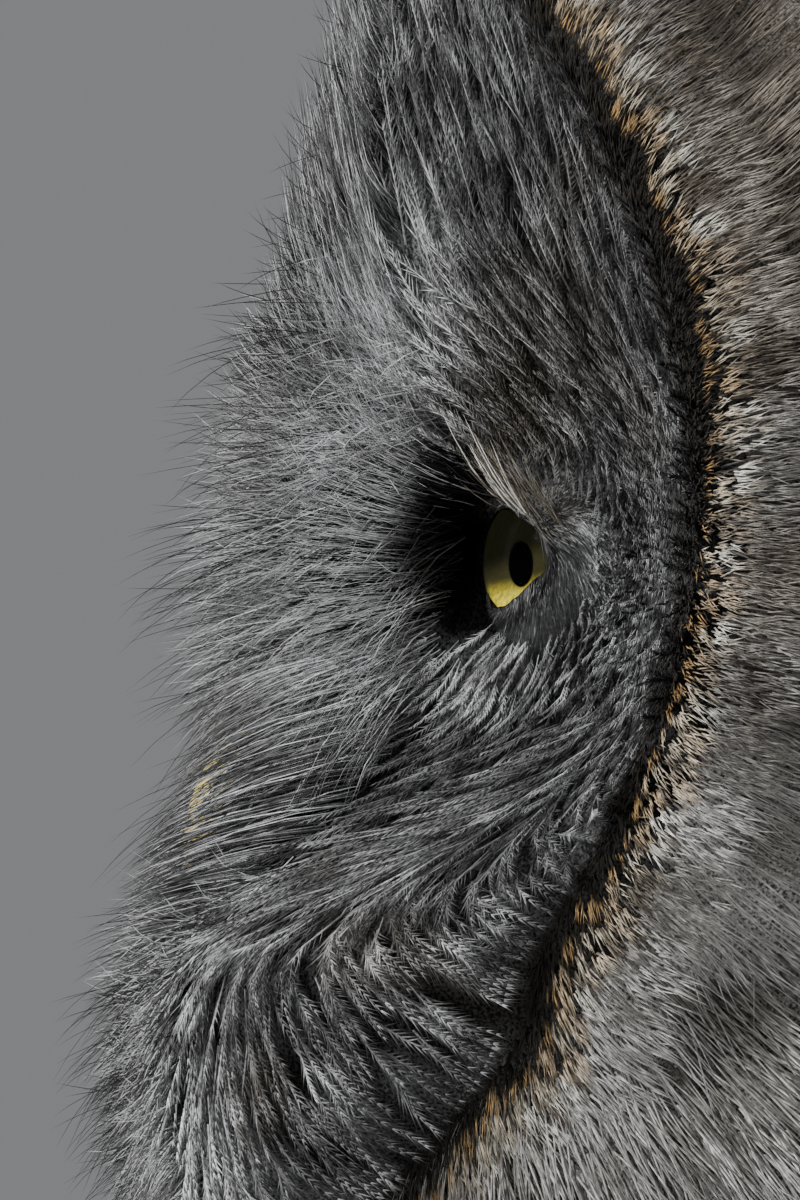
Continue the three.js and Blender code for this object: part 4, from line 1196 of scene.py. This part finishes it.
def bill_point(t, angle, length, slopes, high, wide, under, blunt):
    """A point over half of the bill: t along its arc, angle round it from its ridge."""
    steps = np.linspace(0, 1, 61)
    slope = mix(slopes[0], slopes[1], steps**1.4)
    ahead, climb = arc_line(slope, length)
    here = np.interp(t, steps, slope)
    taper = np.maximum(blunt * np.sqrt(np.clip((1 - t) / 0.06, 0, 1)), (1 - t**1.9) ** 0.8)
    taper = np.where(t > 0.999, 0, taper)
    x = wide * taper * np.sin(angle) * (1 - 0.22 * np.maximum(0, np.cos(angle)))
    n = high * taper * np.cos(angle)
    out = np.interp(t, steps, bill_out + ahead) - n * np.sin(here)
    up = np.interp(t, steps, bill_up + under + climb) + n * np.cos(here)
    nostril = np.exp(-((np.abs(x) - 5.6) ** 2 + (up + 15.4) ** 2 + (out - 24) ** 2) / 1.8)
    return head_point(x - np.sign(x) * 1.1 * nostril, up, out)


def horn_finish():
    material, shader, wire = new_finish("bill_horn", 0.34, Coat_Weight=0.25, Subsurface_Weight=0.08)
    shader.inputs["Subsurface Scale"].default_value = 0.002
    place = wire.node("ShaderNodeTexCoord", out="Object")
    fine = wire.noise(place, 1300.0, 4.0)
    cloudy = wire.noise(place, 160.0, 3.0).ramp(0.35, 0.65)
    pale = wire.colour_mix(np.array((0.58, 0.40, 0.08)), np.array((0.74, 0.60, 0.20)), cloudy)
    final = wire.colour_mix(pale, np.array((0.30, 0.25, 0.14)), 0.35 * fine.ramp(0.5, 0.8))
    wire.finish(shader, final, fine, 0.0001, 0.5)
    return material


def smooth_form(name, rows, around, point):
    form = bmesh.new()
    add_form(form, rows, around, point)
    return finished_mesh(name, form, same_place)


horn_look = horn_finish()

# Rows and segments; length, slopes at root and tip, half height and width, drop of the root, bluntness
bill_halves = (
    ("upper", 56, 32, (38.0, (-0.12, -1.75), 6.4, 6.2, 0.0, 0.1)),
    ("lower", 40, 28, (25.0, (-0.42, -0.95), 4.2, 5.2, -8.5, 0.16)),
)
for title, rows, around, sizes in bill_halves:
    horn = smooth_form(f"{title}_bill", rows, around, lambda t, angle: bill_point(t, angle, *sizes))
    add_piece(horn, horn_look, "bill", f"bill_{title}")

# Ruff
# A narrow ruff of short, stiff, crowded feathers stands up round the disc: velvet black-brown along the
# rim, then spotted with orange, buff, cream and white. They turn over the rim and lie back over the head.

ruff_turn = np.array([(-6.0, 0.6), (4.2, -0.5), (8.8, -14.5)])  # out from the rim, and forwards of it


def ruff_point(angle, s, height):
    """A point over the turned-over ruff: angle round the head, s from inside the rim to the tips."""
    a, b, c = ruff_turn
    place = [(1 - s) ** 2 * a[k] + 2 * s * (1 - s) * b[k] + s * s * c[k] for k in (0, 1)]
    way = [2 * (1 - s) * (b[k] - a[k]) + 2 * s * (c[k] - b[k]) for k in (0, 1)]
    long = np.hypot(*way)
    radius = rim_radius(angle) + place[0] - way[1] / long * height
    return ring_point(radius, angle, rim_reach(rim_height(angle)) + place[1] + way[0] / long * height)


orange = np.array((0.40, 0.265, 0.125))
ruff_gap = 1.5  # between its tufts
ruff_run = 22.0  # how far the ruff reaches over its turn

# Strands of spots: how far each lies outside the black, its half width, length and colour
ruff_spots = (
    (0.8, 0.8, 2.7, orange),
    (3.0, 1.2, 3.3, cream),
    (5.9, 1.7, 4.3, np.array((0.76, 0.73, 0.66))),
)


def ruff_shade(points):
    """Velvet black along the rim, then strands of small spots: orange inside, cream and white outside."""
    x, up, out = from_head(points)
    angle = np.arctan2(x, up - disc_rise)
    back = rim_reach(rim_height(angle)) - out + 0.35 * (np.hypot(x, up - disc_rise) - rim_radius(angle))
    back = back + 2.8 * (mottle(points, 4.6, 61) - 0.5)
    band = 2.0 + 2.8 * smooth(-10, 22, up) - 1.6 * smooth(35, 65, up)  # how wide the black is
    along = np.abs(angle) * 84.0 + 2.0 * (mottle(points, 5.0, 62) - 0.5)
    outer = smooth(1.5, 5.0, back - band)
    middle = np.exp(-(((up - 2) / 26) ** 2))  # paler at the height of the eye
    shade = blend(np.array((0.028, 0.024, 0.020)), np.array((0.18, 0.155, 0.125)), outer)
    shade = shade * (1 + 1.3 * middle)[..., None]
    for number, (place, wide, long, tone) in enumerate(ruff_spots):
        step = along / long + 0.37 * number
        cell = np.floor(step).astype(np.int64)
        kept = hashed(cell, 0 * cell + number, 0 * cell, 63)
        other = hashed(cell, 0 * cell + number, 0 * cell, 64)
        here = np.exp(-(((back - band - place - 0.9 * (other - 0.5)) / wide) ** 2))
        run = 0.5 - 0.5 * np.cos(2 * pi * step)
        shown = smooth(0.14, 0.4, here * np.sqrt(run) * (kept > 0.07))
        colour = blend(tone, cream if number == 0 else buff, 0.45 * (other > 0.68))
        colour = colour * (0.8 + 0.45 * kept + 0.25 * middle)[..., None]
        shade = blend(shade, colour, shown)
    beyond = smooth(7.0, 8.6, back - band)
    return blend(shade, head_shade(points), beyond)


ruff_look = plumage_finish("ruff_feather", 0.75, gloss=0.12)
rows = np.arange(0.04, 0.95, ruff_gap / ruff_run)
round_disc = int(2 * pi * (disc_radius + 5) / ruff_gap)
s, angle = (grid.ravel() for grid in np.meshgrid(rows, np.arange(round_disc), indexing="ij"))
angle = 2 * pi * (angle + 0.9 * chance.random(len(angle))) / round_disc - pi
s = s + ruff_gap / ruff_run * (chance.random(len(s)) - 0.5)
above = rim_height(angle) > -83
s, angle = s[above], angle[above]
shape = (len(s), 6)
s = s[:, None] + ruff_gap / ruff_run * (chance.random(shape) - 0.5)
angle = angle[:, None] + ruff_gap / 85 * (chance.random(shape) - 0.5)
long = 2.7 + 1.0 * chance.random(shape)
lean = 0.15 * chance.normal(size=shape) * long / 85
start = ruff_point(angle, s, -1.0)
tip = ruff_point(angle + lean, s + long / ruff_run, 0.5 + 0.5 * chance.random(shape))
outward = unit(ruff_point(angle, s, 0.0) - start)
form = pile(start, tip, outward, 0.16)
colours = pile_colours(form, ruff_shade, 0.25, 0.1)
add_coat("ruff", form, colours, head_patch, ruff_look, "face_plumage")

# Sides, crown and back of the head
# Soft feathers lie back from the ruff over the sides and crown, and turn down to the nape. Each is a tuft
# of long, fine barbs, mottled grey-brown and fawn.


def settle(points, height):
    """Points near the sides or back of the head, laid on its surface and raised by height."""
    x, up, out = from_head(points)
    up = up - disc_rise
    angle = np.arctan2(x, up)
    rim = rim_reach(rim_height(angle))
    wide = mix(head_side, head_up, np.cos(angle) ** 2)
    before = np.clip((rim - out) / (rim - widest_at), 0, 1)
    radius = mix(rim_radius(angle) + 1, wide, before) + height
    front = ring_point(radius, angle, out)
    back = np.maximum(0, widest_at - out)
    scale = 1 / np.sqrt((np.hypot(x, up) / wide) ** 2 + (back / head_back) ** 2)
    scale = scale * (1 + height / wide)
    behind = head_point(x * scale, disc_rise + up * scale, widest_at - back * scale)
    return np.where((out > widest_at)[..., None], front, behind)


def head_flow(points, outward):
    """The way that feathers lie on the head: back from the face, then down to the nape."""
    x, up, out = from_head(points)
    away = unit(np.stack([x, 0 * x, up - disc_rise], axis=-1))
    behind = smooth(-55, -112, out)[..., None]
    way = np.array((0, 1.0, 0)) * (1 - 0.6 * behind) + 0.35 * away * (1 - behind)
    climb = 0.75 * smooth(8, 60, up) - 0.9 * smooth(-5, -55, up)
    way = way + np.array((0, 0, 1.0)) * (climb[..., None] * (1 - behind) - 1.25 * behind)
    way = way + 0.1 * chance.normal(size=points.shape)
    return unit(way - outward * np.sum(way * outward, axis=-1, keepdims=True))


def head_rows(first, last, gap):
    angles, runs = [], []
    for number, run in enumerate(np.arange(first, last, gap)):
        radius = 88 * cos(max(0, run - side_run) / back_run * pi / 2) + 2
        count = max(5, int(2 * pi * radius / gap))
        angle = 2 * pi * (np.arange(count) + 0.5 * (number % 2) + 0.5 * chance.random(count)) / count
        angles.append(angle)
        runs.append(np.full(count, run) + 0.5 * gap * (chance.random(count) - 0.5))
    return np.concatenate(angles), np.concatenate(runs)


angle, run = head_rows(6.5, side_run + back_run, 4.7)
root = side_point(angle, run, -3.0)
keep = (root[:, 2] > pupil_z - 80) | (root[:, 1] > pupil_y + 70)
root, run = root[keep], run[keep]
outward = unit(side_point(angle[keep], run, 1.0) - root)[:, None]
way = head_flow(root, outward[:, 0])[:, None]
across = np.cross(way, outward)
shape = (len(root), 16, 1)
aside = 2 * chance.random(shape) - 1
root = root[:, None] + 2.9 * aside * across + 5.0 * (chance.random(shape) - 0.5) * way
reach = 9.0 + 4.5 * chance.random(shape)
tip = root + reach * (way + (0.12 * aside + 0.13 * chance.normal(size=shape)) * across)
start = settle(root, -2.6 + 0 * reach[..., 0])
tip = settle(tip, 0.2 + 1.5 * chance.random(shape)[..., 0])
form = pile(start, tip, outward + 0 * start, 0.2)
soft = plumage_finish("head_plumage", 0.75, 1100.0, gloss=0.12)
colours = pile_colours(form, head_shade, 0.4, 0.2)
add_coat("head_feathers", form, colours, head_patch, soft, "face_plumage", pieces=2)

# Neck, breast, back and belly
# Tufts of fine barbs hang down the neck. Below it long, loose feathers lie in rows, each over the next:
# those of breast and belly are grey with dark streaks and soft bars, those of the back are darker.


def tile(surface, along, gap, jitter=0.3):
    """Roots in staggered rows, evenly spaced round the form at each row."""
    places, angles = [], []
    step = along[1] - along[0]
    fine = np.linspace(-pi, pi, 181)
    for number, t in enumerate(along):
        ring = surface(np.full(181, t), fine, 0.0)
        run = np.append(0, np.cumsum(np.linalg.norm(np.diff(ring, axis=0), axis=1)))
        count = max(4, int(run[-1] / gap))
        at = (np.arange(count) + 0.5 * (number % 2) + jitter * (chance.random(count) - 0.5)) / count
        angles.append(np.interp((at % 1) * run[-1], run, fine))
        places.append(np.full(count, t) + jitter * step * (chance.random(count) - 0.5))
    return np.concatenate(places), np.concatenate(angles)


def row_reach(surface, t, angle, length):
    """How much further along the form a feather of this length reaches."""
    step = 0.004
    run = np.linalg.norm(surface(t + step, angle, 0.0) - surface(t, angle, 0.0), axis=-1)
    return length * step / np.maximum(run, 0.02)


def blades(path, outward, half, profile, thick, camber=0.25):
    """Thin closed vanes along paths, raised along their shaft, that end in a point."""
    up, across = path_frame(path, outward)
    width = half.reshape(-1, 1, 1) * np.array(profile)[:, None]
    side = across * width
    sag = up * width * camber
    body = up * thick * 0.5
    rings = [path + body, path - side - sag, path - body, path + side - sag]
    return tapered_form(rings, [0, -1, 0, 1], path[:, -1:])


def vane_finish(name, bars, bar_width, fine, fringe, streak=0.0, dark=soot):
    """A vane: crossbars, fine waves, a dark streak along the shaft and a pale fringe over its own colour."""
    material, shader, wire = new_finish(name, 0.6, Specular_IOR_Level=0.25)
    shade = wire.node("ShaderNodeAttribute", {"attribute_name": "shade"})
    own = wire.node("ShaderNodeUVMap", {"uv_map": "feather"})
    v = own.part(1)
    side = wire.math("ABSOLUTE", own.part(0) - 0.5) * 2.0
    place = wire.node("ShaderNodeTexCoord", out="Object")
    patches = wire.noise(place, 190.0, 2.0)
    grain = wire.noise(place, 900.0, 3.0)
    wave = wire.math("SINE", (v * bars + 0.22 * side + 0.5 * patches) * (2 * pi))
    banded = wave.ramp(0.55 - bar_width, 0.75 - bar_width)
    colour = wire.colour_mix(shade, dark, banded * 0.92)
    waves = wire.math("SINE", (v * bars * 4.0 + 1.6 * patches + 0.5 * side) * (2 * pi))
    colour = wire.colour_mix(colour, dark, waves.ramp(0.2, 0.9) * grain.ramp(0.35, 0.6) * fine)
    if streak:
        band = side + 0.5 * (patches - 0.5)
        shown = band.ramp(0.42, 0.16) * v.ramp(0.15, 0.5)
        colour = wire.colour_mix(colour, dark, shown * streak)
    edge = v.ramp(0.82, 0.98) * (1 - 0.5 * side)
    colour = wire.colour_mix(colour, silver * 1.1, edge * fringe)
    bright = (0.74 + 0.5 * grain.ramp(0.3, 0.7)) * (1 + 0.5 * side.ramp(0.10, 0.03))
    ribs = wire.math("SINE", (v * 46.0 - side * 9.0) * (2 * pi))
    wire.finish(shader, wire.lighten(colour, bright), ribs, 0.00012, 0.7)
    return material


def plumes(surface, t, angle, length, half, heights, barb_count, drift=0.0, solid=0.7, **loose):
    """Feathers that lie along a form, each a thin vane with loose barbs at its sides and tip."""
    end = np.minimum(t + row_reach(surface, t, angle, length), 1.05)
    path, outward = trace(surface, (t, angle), (end, angle + drift), heights, 6, 1.3)
    vanes = blades(path, outward, half * solid, [0.5, 0.9, 1, 1, 0.72, 0], thick=0.4)
    return stack_parts(vanes, barbs(path, outward, half, barb_count, thick=0.2, **loose))


t, angle = tile(body_point, np.arange(0.0, 0.25, 0.0145), 6.0)
shape = (len(t), 11)
t = t[:, None] + 0.014 * (chance.random(shape) - 0.5)
angle = angle[:, None] + 0.08 * (chance.random(shape) - 0.5)
long = 12 + 7 * chance.random(shape)
end = t + row_reach(body_point, t, angle, long)
turn = 0.2 * np.sin(angle) * smooth(0.26, 0.08, t) + 0.03 * chance.normal(size=shape)
over_wing = smooth(0.13, 0.22, t) * smooth(68, 80, np.abs(np.degrees(angle)))
over_wing = over_wing * smooth(172, 160, np.abs(np.degrees(angle)))
start = body_point(t, angle, mix(-3.0, 3.0, over_wing))
tip = body_point(end, angle + turn, 0.3 + 2.2 * chance.random(shape) + 9.0 * over_wing)
outward = unit(body_point(t, angle, 0.0) - start)
form = pile(start, tip, outward, 0.27)
colours = pile_colours(form, head_shade, 0.4, 0.25)
add_coat("neck_feathers", form, colours, body_patch, soft, "body_plumage")

body_gap = 9.0
t, angle = tile(body_point, np.arange(0.17, 0.97, 0.0205), body_gap, jitter=0.9)
under_wing = (np.abs(np.abs(angle) - radians(118)) < radians(26)) & (t > 0.31) & (t < 0.86)
t, angle = t[~under_wing], angle[~under_wing]
fluff = smooth(0.42, 0.66, t) * smooth(radians(105), radians(70), np.abs(angle))
rear = smooth(0.7, 0.9, t)
length = mix(25.0, 36.0, np.maximum(fluff, rear)) * (0.9 + 0.2 * chance.random(len(t)))
half = mix(6.0, 7.5, fluff) * (0.9 + 0.2 * chance.random(len(t)))
high = mix(1.0, 3.0, fluff) + 1.8 * chance.random(len(t))
drift = 0.07 * chance.normal(size=len(t))
loose = {"solid": 0.55, "first": 0.35, "spread": 0.38, "droop": 0.15}
form = plumes(body_point, t, angle, length, half, (-4.0, high), 6, drift, **loose)
colours = plume_colours(form, body_shade, 1.0, 0.3)
below = np.abs(angle) < radians(100)
breast_look = vane_finish("breast_feather", bars=2.3, bar_width=0.1, streak=0.85, fringe=0.5, fine=0.3)
back_look = vane_finish("back_feather", bars=2.6, bar_width=0.35, streak=0.7, fringe=0.35, fine=0.6)
for title, chosen, look in (("breast", below, breast_look), ("back", ~below, back_look)):
    part = (form[0][chosen], form[1], form[2][chosen], form[3])
    add_coat(title, part, colours[chosen], body_patch, look, "body_plumage", pieces=2)

# Wings
# Each folded wing is a thin arm over the side of the body under tiers of overlapping feathers: long barred
# primaries and secondaries, broad greater coverts over their roots, and small soft feathers to the shoulder.

wing_sections = np.vstack([
    body_sections[3:7],
    [
        (32, 148, -160, 216, 98),
        (-18, 112, -180, 178, 88),
        (-72, 84, -203, 143, 77),
        (-128, 56, -228, 110, 67),
        (-178, 28, -252, 80, 58),
        (-222, 4, -276, 50, 50),
    ],
])


def wing_point(hand, t, angle, height):
    """A point over the wing: t along it from the shoulder, angle round the body as on the body."""
    place = on_sections(wing_sections, t, angle, height)
    place[..., 0] *= hand
    return place


vane_profile = [0.5, 0.75, 0.92, 1, 1, 1, 0.99, 0.97, 0.93, 0.86, 0.74, 0.52, 0]
vane_columns = [-1, -0.55, 0, 0.55, 1, 0.55, 0, -0.55]  # across the vane, over its upper face and back
vane_faces = [0, 1, 1.3, 1, 0, -1, -1.3, -1]  # how far over or under the middle, as a share
vane_thick = 0.7


def broad_vanes(path, outward, half, camber=0.12, lift=0.0):
    """Broad closed vanes, arched over their shaft and rounded at the tip, one edge lifted over the next."""
    up, across = path_frame(path, outward)
    profile = np.array(vane_profile)[:, None]
    width = half.reshape(-1, 1, 1) * profile
    rings = []
    for c, face in zip(vane_columns, vane_faces):
        rise = -camber * width * c * c + lift * profile * (0.5 + 0.5 * c)
        rings.append(path + across * width * c + up * (rise + vane_thick * 0.5 * face))
    tip = path[:, -1:] + up[:, -1:] * lift * vane_profile[-2] * 0.5
    return tapered_form(rings, vane_columns, tip)


# Count, root and tip of the first and of the last feather, heights of roots and tips, width, lift
wing_tiers = [
    ("primaries", 9, (0.30, 90, 0.80, 78), (0.34, 108, 0.95, 120), (1.0, 0.5), 25, 4.0),
    ("secondaries", 11, (0.22, 98, 0.74, 104), (0.26, 148, 0.66, 161), (3.0, 6.0), 32, 2.8),
    ("greater_coverts", 14, (0.16, 84, 0.47, 85), (0.18, 150, 0.44, 160), (5.0, 8.6), 25, 2.4),
    ("median_coverts", 17, (0.12, 82, 0.375, 84), (0.13, 152, 0.36, 160), (6.5, 10.2), 21, 2.2),
]


def wing_shade(points):
    """Wings: dark grey-brown, mottled with grey and fawn."""
    patches = mottle(points, 22.0, 51)
    return blend(umber * 1.4, blend(ash * 1.1, fawn, mottle(points, 35.0, 52)), smooth(0.25, 0.75, patches))


def arm_point(hand, along, angle):
    fullness = np.maximum(0.02, np.sin(pi * mix(0.03, 0.97, along))) ** 0.6
    low, high = mix(92, 82, fullness), mix(130, 156, fullness)
    round_body = radians(1) * mix(low, high, 0.5 - 0.5 * np.cos(angle))
    return wing_point(hand, 0.46 * along, round_body, 2.6 + 4.6 * fullness * np.sin(angle))


def add_core(name, rows, around, point, node):
    """A closed form under the feathers, in place of the solid, darkened as painted shade where it shows
    between them.
    """
    core = smooth_form(name, rows, around, point)
    # painted shade: the wings' colours at about a third of their brightness
    set_shade(core, 0.35 * wing_shade(mesh_points(core)))
    add_piece(core, skin_finish, "wing_plumage", node)


dark_bars = umber * 0.5
flight_look = vane_finish("flight_feather", bars=7.0, bar_width=0.45, fine=0.55, fringe=0.35, dark=dark_bars)
covert_look = vane_finish("covert_feather", bars=4.5, bar_width=0.4, streak=0.5, fine=0.6, fringe=0.45)
shoulder_look = vane_finish("shoulder_feather", bars=2.4, bar_width=0.35, streak=0.6, fine=0.6, fringe=0.5)
for hand, side_name in both_sides:
    surface = partial(wing_point, hand)
    add_core(f"wing_arm_{side_name}", 40, 40, partial(arm_point, hand), f"wing_{side_name}")
    for title, count, first, last, heights, width, lift in wing_tiers:
        t0, a0, t1, a1 = (mix(a, b, np.linspace(0, 1, count)) for a, b in zip(first, last))
        t1 = t1 + 0.006 * chance.normal(size=count)
        ends = (t0, np.radians(a0)), (t1, np.radians(a1))
        path, outward = trace(surface, *ends, heights, 13, 1.0)
        half = width / 2 * (0.95 + 0.1 * chance.random(count))
        form = broad_vanes(path, outward, half, lift=-lift * hand)
        colours = wing_shade(form[0]) * (0.85 + 0.3 * chance.random((count, 1, 1)))
        look = flight_look if title in ("primaries", "secondaries") else covert_look
        add_coat(f"{title}_{side_name}", form, colours, body_patch, look, "wing_plumage")
    t, angle = [], []
    count = 15
    for number, row in enumerate(np.arange(0.005, 0.285, 0.021)):
        q = (np.arange(count) + 0.5 * (number % 2) + 0.4 * (chance.random(count) - 0.5)) / count
        t.append(row + 0.006 * chance.normal(size=count))
        angle.append(np.radians(mix(80, 158, q)))
    t, angle = np.maximum(np.concatenate(t), 0), np.concatenate(angle)
    long = 27 * (0.9 + 0.2 * chance.random(len(t)))
    half = 8.0 * (0.9 + 0.2 * chance.random(len(t)))
    high = 10.5 + 2.0 * chance.random(len(t))
    form = plumes(surface, t, angle, long, half, (3.0, high), 6, first=0.45, spread=0.5, droop=0.2)
    colours = plume_colours(form, wing_shade, 1.0, 0.3)
    add_coat(f"shoulder_{side_name}", form, colours, body_patch, shoulder_look, "wing_plumage")

# Tail
# Twelve long, broad feathers lie over one another, barred dark and pale, with soft coverts over and under
# their roots. They grow from a short stub that the rump's feathers hide.

tail_root, tail_tip = np.array((-128.0, 164.0)), np.array((-300.0, 16.0))  # forwards of the feet, and up
tail_length = np.linalg.norm(tail_tip - tail_root)
tail_heading = (tail_tip - tail_root) / tail_length


def tail_point(x, reach, drop):
    forwards = tail_root[0] + tail_heading[0] * reach - tail_heading[1] * drop
    return floor_point(x, forwards, tail_root[1] + tail_heading[1] * reach + tail_heading[0] * drop)


def stub_point(along, angle):
    reach = mix(20, 118, along)
    size = np.maximum(0.02, np.sin(pi * along**0.55)) ** 0.5
    return tail_point(30 * size * np.sin(angle), reach, 9 - 17 * size * np.cos(angle))


def tail_vanes(length, half, drift, drop, droop=0.0):
    """Feathers of the tail, given how far aside their tips stand and how far below its upper face."""
    s = np.linspace(0, 1, 13)
    x = drift[:, None] * mix(0.35, 1, s)
    path = tail_point(x, length[:, None] * s, drop[:, None] + droop * np.sin(pi * s))
    outward = np.array((0, tail_heading[1], -tail_heading[0]))
    lean = 0.09 * np.sign(drift)[:, None, None] * np.array((1.0, 0, 0))
    return broad_vanes(path, unit(path * 0 + outward + lean), half, camber=0.08)


add_core("tail_stub", 24, 32, stub_point, "tail")
pair = np.repeat(np.arange(6), 2)
hand = np.tile([1, -1], 6)
drop = 1.3 * (2 * pair + (hand < 0))
form = tail_vanes(tail_length - 3.2 * pair, np.full(12, 19.0), hand * (6 + 3.9 * pair), drop)
colours = wing_shade(form[0]) * (0.9 + 0.3 * chance.random((12, 1, 1)))
tail_look = vane_finish("tail_feather", bars=8.0, bar_width=0.42, fine=0.7, fringe=0.3, dark=dark_bars)
add_coat("tail_feathers", form, colours, body_patch, tail_look, "wing_plumage")
count = 9
q = np.linspace(-1, 1, count)
for title, first_drop, step, droop in (("over", -2.6, -0.5, -3.0), ("under", 18.5, 0.6, 3.0)):
    length = 130 - 16 * q * q + 4 * chance.normal(size=count)
    drop = first_drop + step * np.arange(count)
    form = tail_vanes(length, np.full(count, 11.0), 21 * q, drop, droop)
    colours = body_shade(form[0]) * (0.85 + 0.3 * chance.random((count, 1, 1)))
    add_coat(f"tail_coverts_{title}", form, colours, body_patch, covert_look, "wing_plumage")

# Legs and toes
# Short, dense, downy feathers cover the shanks and the toes down to the claws, fawn-grey and faintly
# mottled. They point downwards, and outwards along the toes.


def down_feathers(surface, t, angle, length, half, heights, drift, droop, lowest):
    """Short feathers of about this length and half width, which keep over the floor."""
    length = length * (0.8 + 0.4 * chance.random(len(t)))
    half = half * (0.8 + 0.4 * chance.random(len(t)))
    root, tip, more = heights
    high = tip + more * chance.random(len(t))
    loose = {"solid": 0.4, "first": 0.3, "spread": 0.5, "droop": droop}
    form = plumes(surface, t, angle, length, half, (root, high), 5, drift, **loose)
    form[0][..., 2] = np.maximum(form[0][..., 2], lowest)
    return form


def gather(forms):
    """Like forms of several toes as one."""
    points, share = (np.concatenate([form[k] for form in forms]) for k in (0, 2))
    return points, forms[0][1], share, forms[0][3]


down = plumage_finish("leg_down", 0.7)
for hand, side_name in both_sides:
    shank = partial(leg_point, hand)
    t, angle = tile(shank, np.arange(0.0, 1.0, 0.05), 6.2)
    form = down_feathers(shank, t, angle, 14, 3.3, (-2.5, 0.4, 1.4), 0.1, 0.2, 0.4)
    colours = plume_colours(form, leg_shade, 1.1, 0.4)
    add_coat(f"shank_{side_name}", form, colours, body_patch, down, "leg_plumage")
    forms = []
    for toe in toes:
        top = partial(toe_point, hand, toe)
        t, angle = tile(top, np.arange(0.0, 0.93, 0.11), 4.4)
        above = np.abs(angle) < radians(128)
        t, angle = t[above], angle[above]
        forms.append(down_feathers(top, t, angle, 7.0, 2.1, (-1.6, 0.2, 0.9), 0.0, 0.1, 0.3))
    form = gather(forms)
    colours = plume_colours(form, leg_shade, 1.1, 0.4)
    add_coat(f"toes_{side_name}", form, colours, body_patch, down, "leg_plumage")

# Claws
# Smooth, curved and needle-sharp, of nearly black horn, faintly mottled with paler horn.

claw_length, claw_buried = 23.0, 5.0
claw_root, claw_tip = 3.1, 0.45  # radii


def claw_point(hand, toe, along, angle):
    _, turn, length, thick = toe
    steps = np.linspace(0, 1, 61)
    slope = 0.42 - 1.62 * steps
    stretch, climb = arc_line(slope, claw_length + claw_buried)
    here = np.interp(along, steps, slope)
    radius = mix(claw_root, claw_tip, along**1.1) * np.sqrt(np.clip((1 - along) / 0.03, 0, 1))
    ahead = np.interp(along, steps, length - claw_buried + stretch) - radius * np.cos(angle) * np.sin(here)
    z = np.interp(along, steps, thick * 0.95 + climb) + radius * np.cos(angle) * np.cos(here)
    return toe_place(hand, turn, ahead, 0.85 * radius * np.sin(angle), np.maximum(z, 0.05))


def claw_finish():
    material, shader, wire = new_finish("claw_horn", 0.28, Coat_Weight=0.2)
    noise = wire.noise(wire.node("ShaderNodeTexCoord", out="Object"), 700.0, 3.0)
    pale, deep = np.array((0.05, 0.042, 0.035)), np.array((0.012, 0.011, 0.011))
    wire.finish(shader, wire.colour_mix(deep, pale, noise.ramp(0.4, 0.75)), noise, 0.0001, 0.4)
    return material


claw_look = claw_finish()
for hand, side_name in both_sides:
    for toe in toes:
        title = f"{toe[0]}_{side_name}"
        horn = smooth_form(f"talon_{title}", 36, 24, partial(claw_point, hand, toe))
        add_piece(horn, claw_look, "claws", f"claw_{title}")

# Floor and light
# A plain pale floor under soft studio light: a broad key from above and before the owl, to the left in
# the picture, a wide fill from the camera's side, one from behind its right and a pale sky all round.

floor_mesh = bpy.data.meshes.new("floor")
ground = bmesh.new()
bmesh.ops.create_grid(ground, x_segments=1, y_segments=1, size=6)
ground.to_mesh(floor_mesh)
ground.free()
floor_material, floor_shader, _ = new_finish("floor", 0.8)
floor_shader.inputs["Base Color"].default_value = (0.56, 0.56, 0.55, 1)
floor_mesh.materials.append(floor_material)
floor = bpy.data.objects.new("floor", floor_mesh)
bpy.context.scene.collection.objects.link(floor)

face_middle_point = Vector((0, pupil_y, pupil_z)) * mm
for title, watts, size, place in (
    ("key", 82, 0.8, (0.75, -1.9, 1.5)),
    ("fill", 16, 1.6, (2.2, 0.6, 1.0)),
    ("back", 46, 1.4, (-1.6, 1.5, 1.4)),
):
    lamp_data = bpy.data.lights.new(title, "AREA")
    lamp_data.energy = watts
    lamp_data.size = size
    lamp = bpy.data.objects.new(title, lamp_data)
    lamp.location = place
    lamp.rotation_euler = (face_middle_point - lamp.location).to_track_quat("-Z", "Y").to_euler()
    bpy.context.scene.collection.objects.link(lamp)
world = bpy.data.worlds.new("studio")
world.use_nodes = True
sky = world.node_tree.nodes["Background"]
sky.inputs["Color"].default_value = (0.62, 0.63, 0.64, 1)
sky.inputs["Strength"].default_value = 0.36
bpy.context.scene.world = world
